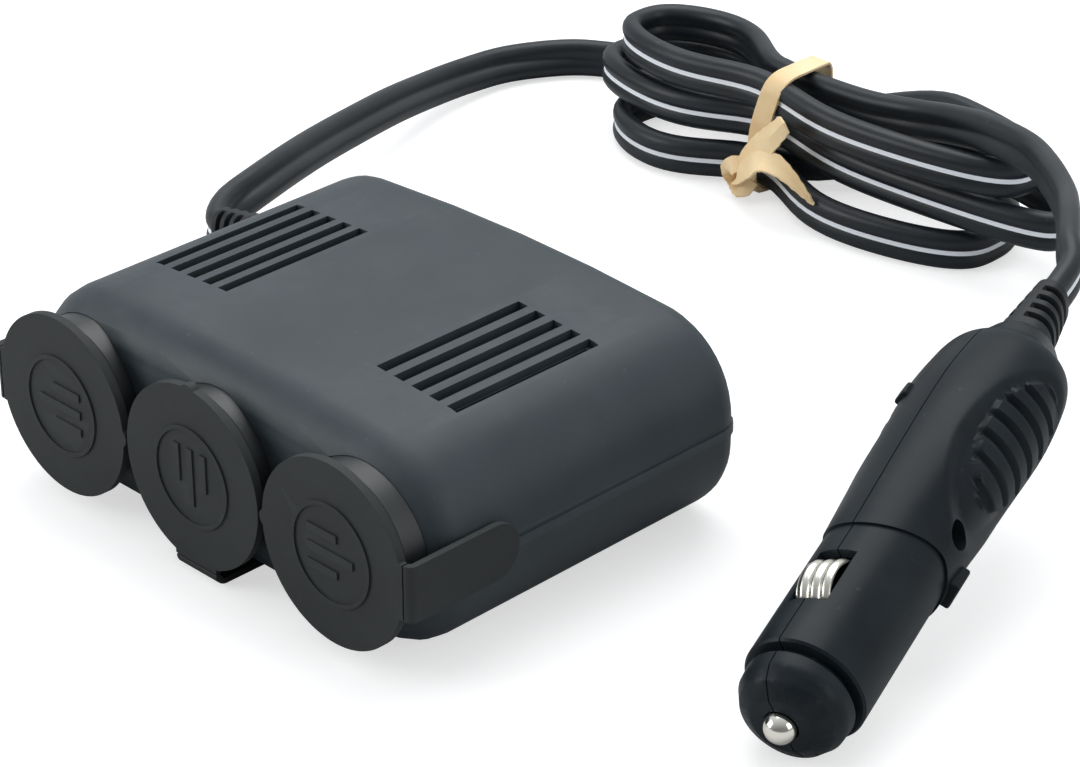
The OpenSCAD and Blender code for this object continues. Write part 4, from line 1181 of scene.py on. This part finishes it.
@dataclass
class HankTie:
    """Flat rubber band tied round the hank's waist."""

    shop: Workshop
    width: float = 5.0
    thick: float = 0.6
    lean: float = 0.27
    lean_from: float = 5
    rows: int = 4
    ripples: tuple[float, float] = (0.064, 0.0192)
    ripple_turn: float = 1.7
    parts: int = 5
    knot_at: tuple[float, float] = (138, 6)
    knot_narrows: float = 0.4
    knot_spread: float = 30
    roll_at: Point = (WAIST_X - 0.4, 136.4, 4.8)
    roll_size: Point = (2.6, 0.9, 2.7)
    roll_points: int = 28
    ragged: float = 0.13
    ragged_turn: float = 2.3
    root_width: float = 0.55
    root_share: float = 1 / 3
    point_from: float = 0.6
    outward: Point = (0.45, -0.6, 0.66)
    outline: tuple[tuple[float, float], ...] = (
        (138.3, 12), (138.9, 2.2), (141, 0.5), (149.5, 0.45), (158, 0.5), (159.9, 2.4), (160.2, 9.4),
        (158.9, 14.2), (157.2, 19.1), (155.3, 24.4), (153.4, 27.9), (151.2, 28.35), (146, 28.3),
        (142.3, 28.2), (139.9, 27.3), (138.6, 25.4), (138.1, 22), (137.9, 17))
    folded_tail: tuple[Point, ...] = (
        (-36.2, 137.4, 4.6), (-33.6, 135.6, 7.6), (-30.4, 134.4, 11.2), (-26.9, 133.6, 15.2),
        (-23.5, 133.2, 19.0), (-20.6, 133.0, 22.4))
    pointed_tail: tuple[Point, ...] = (
        (-36.6, 137.2, 2.8), (-34.0, 134.6, 5.6), (-30.4, 132.8, 9.2), (-26.6, 131.8, 12.4),
        (-22.6, 131.4, 13.6), (-18.6, 131.6, 12.4), (-15.0, 132.4, 9.6), (-12.6, 133.2, 7.2))

    def build(self) -> list[Object]:
        """Builds the band and its knot.

        Returns:
            The pieces.
        """
        band = self._band()
        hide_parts("hank_tie")
        turns = (math.tau * i / self.roll_points for i in range(self.roll_points))
        x, y, z = self.roll_size
        roll = [Vector(self.roll_at) + Vector((x * math.cos(turn), y * math.sin(2 * turn), z * math.sin(turn)))
                for turn in turns]
        folded, pointed = (smooth_path([Vector(place) for place in tail], self.parts)
                           for tail in (self.folded_tail, self.pointed_tail))
        return [band, self._ribbon("band_knot", roll + roll[:1], 1.9, 0.3, 0.0),
                self._ribbon("band_tail_1", folded, 2.9, 1.3, 0.35),
                self._ribbon("band_tail_2", pointed, 2.3, -0.7, 0.85)]

    def _thickened(self, bm: BMesh) -> BMesh:
        """The same sheet, with its thickness."""
        bmesh.ops.solidify(recalculated(bm), geom=bm.faces[:], thickness=self.thick * MM)
        return recalculated(bm)

    def _band(self) -> Object:
        """The band round the waist.

        Returns:
            The band.
        """
        outline = [Vector((WAIST_X, y, z)) for y, z in self.outline + self.outline[:1]]
        path = smooth_path(outline, self.parts)[:-1]
        bm = bmesh.new()
        ring = [bm.verts.new(Vector((WAIST_X - self._half_width(p), p.y, p.z)) * MM) for p in path]
        edges = [bm.edges.new(pair) for pair in zip(ring, ring[1:] + ring[:1])]
        for step in range(self.rows):
            verts, edges = extruded(bm, edges)
            for vert in verts:
                half = self._half_width(vert.co / MM)
                vert.co.x = (WAIST_X - half + half * 2 * (step + 1) / self.rows) * MM
                vert.co.y += self.ripples[step % 2] * math.sin(vert.co.z / MM * self.ripple_turn + step) * MM
        for vert in bm.verts:
            vert.co.x += max(0.0, vert.co.z - self.lean_from * MM) * self.lean
        return self.shop.piece("hank_band", self._thickened(bm), self.shop.colours.tan, crease=50, bevel=0.12)

    def _half_width(self, point: Vector) -> float:
        """Half the band's width, which narrows at the knot.

        Args:
            point: A point of the band, in mm.

        Returns:
            Half its width there, in mm.
        """
        y, z = self.knot_at
        near = math.exp(-((point.y - y) ** 2 + (point.z - z) ** 2) / self.knot_spread)
        return self.width / 2 * (1 - self.knot_narrows * near)

    def _ribbon(self, name: str, path: list[Vector], half: float, fold: float, point: float) -> Object:
        """Flat ribbon that follows a path, faces outwards and is folded along its middle.

        Args:
            name: Its name.
            path: Its points, in mm.
            half: Half its width, in mm.
            fold: Height of the fold at its end, in mm.
            point: How much narrower its end is, 0 to 1.

        Returns:
            The object.
        """
        bm = bmesh.new()
        outward = Vector(self.outward).normalized()
        rows = []
        for i, place in enumerate(path):
            way = (path[min(i + 1, len(path) - 1)] - path[max(i - 1, 0)]).normalized()
            across = way.cross(outward).normalized()
            share = i / (len(path) - 1)
            root = self.root_width + (1 - self.root_width) * min(1, share / self.root_share)
            wide = half * root * (1 - point * max(0.0, share - self.point_from) / (1 - self.point_from))
            ragged = self.ragged * math.sin(i * self.ragged_turn) * share
            rows.append([bm.verts.new((place + across * (wide * k + ragged * abs(k))
                                       + outward * fold * (1 - abs(k)) * share) * MM)
                         for k in (-1, -0.5, 0, 0.5, 1)])
        for first, second in zip(rows, rows[1:]):
            edges = [bm.edges.get(pair) or bm.edges.new(pair)
                     for row in (first, second) for pair in zip(row, row[1:])]
            bmesh.ops.bridge_loops(bm, edges=edges)
        return self.shop.piece(name, self._thickened(bm), self.shop.colours.tan, crease=25, bevel=0.08)


# ---------------------------------------------------------------- housing and sockets


@dataclass
class Housing:
    """The two shells, their screws and what the cord is held by."""

    shop: Workshop
    shell_edge: float = 0.22
    shell_crease: float = 30
    vents: int = 5
    vent_at: Point = (28.8, 1.55, 41)
    vent_pitch: float = 4.24
    vent_size: Point = (2.35, 33.2, 9.4)
    droop: float = 7
    relief: RibbedBoot = RibbedBoot(19.6, (12.5, 8.8), (10.2, 6.3), 6.4, 2.7, 5, steps=150)

    def build(self) -> list[Object]:
        """Dresses the shells and the cord's exit.

        Returns:
            The strain relief.
        """
        shop, colours = self.shop, self.shop.colours
        shop.stand_in("upper_shell", colours.housing, self.shell_edge, self.shell_crease, self._vented())
        shop.stand_in("lower_shell", colours.lower, self.shell_edge, self.shell_crease)
        shop.stand_in("housing_screws", colours.steel, 0.15)
        shop.stand_in("cord_clamp", colours.cord_clamp, 0.2)
        shop.stand_in("clamp_screws", colours.steel, 0.12)
        for node, finish in (("positive_lead", colours.red), ("negative_lead", colours.black),
                             ("positive_bus_bar", colours.brass), ("negative_bus_bar", colours.nickel)):
            shop.dress(node, finish)
        sleeve = self.relief.mesh()
        sleeve.transform(moved(HOUSING_EXIT) @ turned(180, "Z") @ turned(self.droop, "Y"))
        return [shop.stand_in("strain_relief", colours.boot, 0.0, 50, sleeve)]

    def _vented(self) -> BMesh:
        """The upper shell with its vents, a row on each side of the middle.

        Returns:
            Its mesh.
        """
        shell = self.shop.merged("upper_shell")
        x, y, z = self.vent_at
        for side in (-1, 1):
            for i in range(self.vents):
                slot = bmesh.new()
                at = (side * x + (i - (self.vents - 1) / 2) * self.vent_pitch, y, z)
                bmesh.ops.create_cube(slot, size=MM, matrix=moved(at) @ Matrix.Diagonal((*self.vent_size, 1)))
                shell = Workshop.cut(shell, slot)
        return shell


@dataclass
class Sockets:
    """The three sockets with their caps and straps."""

    shop: Workshop
    sides: tuple[str, ...] = ("left", "middle", "right")

    def build(self) -> None:
        """Dresses each socket and its cap."""
        colours = self.shop.colours
        parts = (("socket_barrel", colours.barrel, 0.25), ("ground_sleeve", colours.nickel, 0.08),
                 ("centre_contact", colours.brass, 0.15), ("cap", colours.cap, 0.28),
                 ("cap_strap", colours.cap, 0.25))
        for side in self.sides:
            for part, finish, bevel in parts:
                self.shop.stand_in(f"{side}_{part}", finish, bevel)


# ---------------------------------------------------------------- plug


@dataclass(frozen=True)
class SideContact:
    """A sprung side contact: a bowed strip with three ribs pressed in it, in the plug's own axes."""

    middle: float = 27.5
    bow_half: float = 5.6
    rise: float = 4.2
    root: float = 7.28
    foot: float = 0.2
    half_length: float = 8.0
    half_width: float = 3.2
    rib: float = 0.22
    rib_pitch: float = 2.1
    rib_ease: float = 1.5
    thick: float = 0.35

    def mesh(self) -> BMesh:
        """The contact over the plug's axis.

        Returns:
            Its mesh, in metres.
        """
        radius = (self.bow_half ** 2 + self.rise ** 2) / (2 * self.rise)
        bm = bmesh.new()
        bmesh.ops.create_grid(bm, x_segments=56, y_segments=26, size=1.0)
        for vert in bm.verts:
            along, across = vert.co.x * self.half_length, vert.co.y * self.half_width
            inside = self.bow_half - abs(along)
            bow = math.sqrt(max(radius ** 2 - along ** 2, 0)) + self.rise - radius if inside > 0 else 0
            rib = self.rib * math.cos(across * math.tau / self.rib_pitch) * clamped(inside / self.rib_ease)
            vert.co = Vector((self.middle + along, across, self.root + max(bow, self.foot) + rib)) * MM
        bmesh.ops.solidify(bm, geom=bm.faces[:], thickness=self.thick * MM)
        return recalculated(bm)


@dataclass
class Plug:
    """The plug that goes in the car: shells, contacts, fuse, screw and boot.

    Its own axes start at its tip, with its cord towards +X. Each station of its handle has its place along
    it, 0 to 1, and its height and width as shares of handle_width.
    """

    shop: Workshop
    at: Point = (109.3, -15.8, 8.1)
    yaw: float = 106.4
    pitch: float = 12.5
    roll: float = -21
    insert: float = 43.5
    handle: float = 58
    handle_width: float = 27
    handle_steps: int = 190
    handle_sides: int = 144
    casing_edge: float = 0.16
    casing_crease: float = 32
    neck: float = 0.7
    stations: tuple[Point, ...] = (
        (0, 0.81, 0.81), (0.28, 0.875, 0.92), (0.6, 0.9, 1), (0.78, 0.83, 0.95), (0.86, 0.755, 0.87),
        (0.91, 0.61, 0.70), (1, 0.45, 0.46))
    scoop: tuple[float, float, float, float] = (69, 21.5, 10.2, 1.3)
    scoop_ease: float = 0.24
    grip: tuple[float, float, float, float] = (72.6, 15.2, 8.2, 1.15)
    grip_ease: float = 0.07
    grip_pitch: float = 4.6
    bar_fullness: float = 2.8
    lip: tuple[float, float] = (3.6, 0.16)
    rear_round: tuple[float, float] = (0.015, 0.03)
    barrel_trim: float = 0.25
    on_split: float = 0.02
    split: float = 0.12
    groove: float = 0.35
    seam: float = 0.004
    recess: Point = (49.5, 2.6, 6.6)
    recess_room: float = 10
    right_lug: tuple[float, ...] = (46.2, 5, 6, 10.5, 135)
    left_lug: tuple[float, ...] = (76, 3.2, 3.6, 11.3, -38)
    lug_deep: float = 4
    lug_round: float = 0.5
    boot: RibbedBoot = RibbedBoot(14.5, (11.4, 10), (9.9, 6.2), 3.2, 2.75, 4, bar_turn=-21)
    boot_overlap: float = 0.4
    contact: SideContact = SideContact()
    ball: float = 2.8
    ball_steps: int = 14
    stem: tuple[tuple[float, float], ...] = ((9, 2.8), (9, 4.4), (11, 4.4), (11, 0))
    pin_sides: int = 72
    pin_travel: float = 2.2

    def matrix(self, rolled: bool = True) -> Matrix:
        """Transform from the plug's own axes, in metres, with its roll or without."""
        turn = turned(self.yaw, "Z") @ turned(-self.pitch, "Y")
        return moved(self.at) @ (turn @ turned(self.roll, "X") if rolled else turn)

    def build(self) -> list[Object]:
        """Builds the plug.

        Returns:
            Its pieces.
        """
        shop, colours = self.shop, self.shop.colours
        sleeve = self.boot.mesh()
        sleeve.transform(self.matrix(False) @ moved((self.insert + self.handle - self.boot_overlap, 0, 0)))
        return [self._shell("plug_left_shell", 1),
                self._shell("plug_right_shell", -1),
                shop.stand_in("plug_boot", colours.boot, 0.0, 50, sleeve),
                shop.stand_in("plug_screw", colours.steel, 0.12),
                self._pin(),
                self._contact("upper_side_contact", 0),
                self._contact("lower_side_contact", 180),
                shop.stand_in("fuse_ends", colours.polished, 0.2),
                shop.stand_in("plug_terminal", colours.brass, 0.15),
                self._spring(),
                shop.dress("fuse_glass", colours.glass),
                shop.dress("plug_positive_lead", colours.red),
                shop.dress("plug_negative_lead", colours.black),
                shop.dress("side_contact_strap", colours.nickel)]

    def _size(self, share: float) -> tuple[float, float]:
        """Half height and half width of the handle, eased between its stations.

        Args:
            share: Place along the handle, 0 to 1.

        Returns:
            The half height and the half width, in mm.
        """
        count = len(self.stations)
        i = max(k for k in range(count - 1) if self.stations[k][0] <= share or k == 0)
        before, start, end, after = (self.stations[min(max(k, 0), count - 1)] for k in range(i - 1, i + 3))
        run = end[0] - start[0]
        t = clamped((share - start[0]) / run)
        sizes = []
        for k in (1, 2):
            slope_in = (end[k] - before[k]) / (end[0] - before[0]) * run
            slope_out = (after[k] - start[k]) / (after[0] - start[0]) * run
            value = ((2 * t ** 3 - 3 * t ** 2 + 1) * start[k] + (t ** 3 - 2 * t ** 2 + t) * slope_in
                     + (3 * t ** 2 - 2 * t ** 3) * end[k] + (t ** 3 - t ** 2) * slope_out)
            sizes.append(value * self.handle_width / 2)
        return sizes[0], sizes[1]

    def _sink(self, along: float, height: float) -> float:
        """How far the grip patch sinks a point of the handle, less its bars.

        Args:
            along: Place along the plug, in mm.
            height: Height from the plug's middle, in mm.

        Returns:
            Depth in mm.
        """
        middle, half, across, depth = self.scoop
        edge = ease((1 - math.hypot((along - middle) / half, height / across)) / self.scoop_ease)
        middle, half, across, rise = self.grip
        inner = clamped((1 - math.hypot((along - middle) / half, height / across)) / self.grip_ease)
        wave = 0.5 - 0.5 * math.cos(math.tau * (along - middle) / self.grip_pitch)
        bars = min(1, self.bar_fullness * wave)
        return depth * edge - rise * inner * bars

    def _corner(self, share: float, size: float, turn: float) -> Vector:
        """One corner of a ring of the handle, whose front edge reaches forward above and below.

        Args:
            share: The ring's place along the handle, 0 to 1.
            size: How much of its size it has.
            turn: The corner's turn in radians.

        Returns:
            Its place in the plug's own axes, in mm.
        """
        tall, wide = self._size(share)
        reach, lip_run = self.lip
        rear_run, less = self.rear_round
        size *= 1 - less * clamped((share - 1) / rear_run + 1)
        c, u = math.cos(turn), math.sin(turn)
        along = self.insert + share * self.handle - reach * abs(u) ** 1.5 * max(0.0, 1 - share / lip_run)
        y, z = wide * c * size, tall * u * size
        sink = self._sink(along, z)
        return Vector((along, y - c * sink, z - u * sink))

    def _halved(self, side: int) -> BMesh:
        """Half of the handle, in the plug's own axes.

        Args:
            side: 1 for the left half, -1 for the right.

        Returns:
            Its mesh.
        """
        shares = [step / self.handle_steps for step in range(self.handle_steps + 1)]
        bm = lofted(self.handle_sides, [partial(self._corner, 0.0, self.neck),
                                        *(partial(self._corner, share, 1.0) for share in shares)])
        cut = self._trimmed(bm, (0, side * self.split * MM, 0), (0, -side, 0))
        bmesh.ops.edgeloop_fill(bm, edges=[item for item in cut if isinstance(item, BMEdge)])
        return bm

    @staticmethod
    def _trimmed(bm: BMesh, at: Point, out: Point) -> list[BMVert | BMEdge]:
        """Cuts off what lies past a plane, on its out side, and gives back what is left in the plane."""
        return bmesh.ops.bisect_plane(bm, geom=bm.verts[:] + bm.edges[:] + bm.faces[:], dist=ON_PLANE,
                                      plane_co=at, plane_no=out, clear_outer=True)["geom_cut"]

    def _shell(self, node: str, side: int) -> Object:
        """One half of the plug's casing: the frame's barrel with a smooth new handle.

        Args:
            node: The frame node that it stands for.
            side: 1 for the left half, -1 for the right.

        Returns:
            The piece.
        """
        bm = self.shop.merged(node)
        bm.transform(self.matrix().inverted())
        self._trimmed(bm, ((self.insert - self.barrel_trim) * MM, 0, 0), (1, 0, 0))
        for vert in bm.verts:
            if abs(vert.co.y) < self.on_split * MM:
                vert.co.y = side * self.split * MM
        self._close_seam(bm, side)
        handle = self._with_lug(self._halved(side), side)
        self._close_seam(handle, side)
        mesh = mesh_from("handle_half", handle)
        bm.from_mesh(mesh)
        bpy.data.meshes.remove(mesh)
        bm.transform(self.matrix())
        return self.shop.stand_in(node, self.shop.colours.plug, self.casing_edge, self.casing_crease, bm)

    def _close_seam(self, bm: BMesh, side: int) -> None:
        """Makes the split line a shallow groove, so that no light passes between the halves.

        Args:
            bm: A half, or part of it, in the plug's own axes.
            side: 1 for the left half, -1 for the right.
        """
        split = side * self.split * MM
        flat = [face for face in bm.faces if all(abs(vert.co.y - split) < NEAR for vert in face.verts)]
        bmesh.ops.inset_region(bm, faces=flat, thickness=self.groove * MM, use_even_offset=True,
                               use_boundary=True)
        for vert in {vert for face in flat for vert in face.verts}:
            vert.co.y = side * self.seam * MM

    def _with_lug(self, handle: BMesh, side: int) -> BMesh:
        """Half of the handle with its small lug, and with its screw recess if it is the right one.

        Args:
            handle: The half, which is used up.
            side: 1 for the left half, -1 for the right.

        Returns:
            The half with what it carries.
        """
        if side < 0:
            along, radius, floor = self.recess
            hole = bmesh.new()
            bmesh.ops.create_cone(hole, cap_ends=True, segments=48, radius1=radius * MM, radius2=radius * MM,
                                  depth=self.recess_room * MM,
                                  matrix=moved((along, -floor - self.recess_room / 2, 0)) @ turned(90, "X"))
            handle = Workshop.cut(handle, hole)
        middle, length, width, height, turn = self.right_lug if side < 0 else self.left_lug
        made = bmesh.ops.create_cube(handle, size=1.0)["verts"]
        for vert in made:
            x, y, z = vert.co
            vert.co = Vector((middle + x * length, y * width, height + z * self.lug_deep)) * MM
        bmesh.ops.rotate(handle, verts=made, cent=(0, 0, 0), matrix=turned(turn, "X").to_3x3())
        bmesh.ops.bevel(handle, geom=edges_of(made), offset=self.lug_round * MM, segments=3, profile=0.5,
                        affect="EDGES", material=-1)
        return handle

    def _pin(self) -> Object:
        """The sprung centre pin with its polished round tip.

        Returns:
            The piece.
        """
        turns = (math.radians(90) * i / self.ball_steps for i in range(self.ball_steps + 1))
        tip = [(self.ball * (1 - math.cos(turn)), self.ball * math.sin(turn)) for turn in turns]
        bm = Workshop.lathe(tip + list(self.stem), self.pin_sides)
        bm.transform(self.matrix(False))
        obj = self.shop.piece("centre_pin_dressed", bm, self.shop.colours.polished, Body.CENTRE_PIN, 40)
        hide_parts("plug_centre_pin")
        return obj

    def _spring(self) -> Object:
        """The coil behind the fuse, given a mesh of its own. In the real plug it shortens against the terminal
        as the centre pin goes in.

        Returns:
            The piece.
        """
        coil = self.shop.stand_in("pin_spring", self.shop.colours.spring, 0.0, 60)
        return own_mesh(coil)

    def _contact(self, node: str, turn: float) -> Object:
        """One side contact.

        Args:
            node: The frame node that it stands for.
            turn: Its turn round the plug's axis, in degrees.

        Returns:
            The piece.
        """
        bm = self.contact.mesh()
        bm.transform(self.matrix() @ turned(turn, "X"))
        return self.shop.stand_in(node, self.shop.colours.nickel, 0.0, 50, bm)


def main() -> None:
    """Builds the whole scene."""
    logging.basicConfig(level=logging.INFO, format="%(name)s: %(message)s")
    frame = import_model()
    Studio().build()
    shop = Workshop(frame, FinishBench(Palette()))
    tie = HankTie(shop).build()
    relief = Housing(shop).build()
    plug = Plug(shop).build()
    FlatCord(shop).build(relief + tie + plug)
    Sockets(shop).build()


if __name__ == "__main__":
    main()
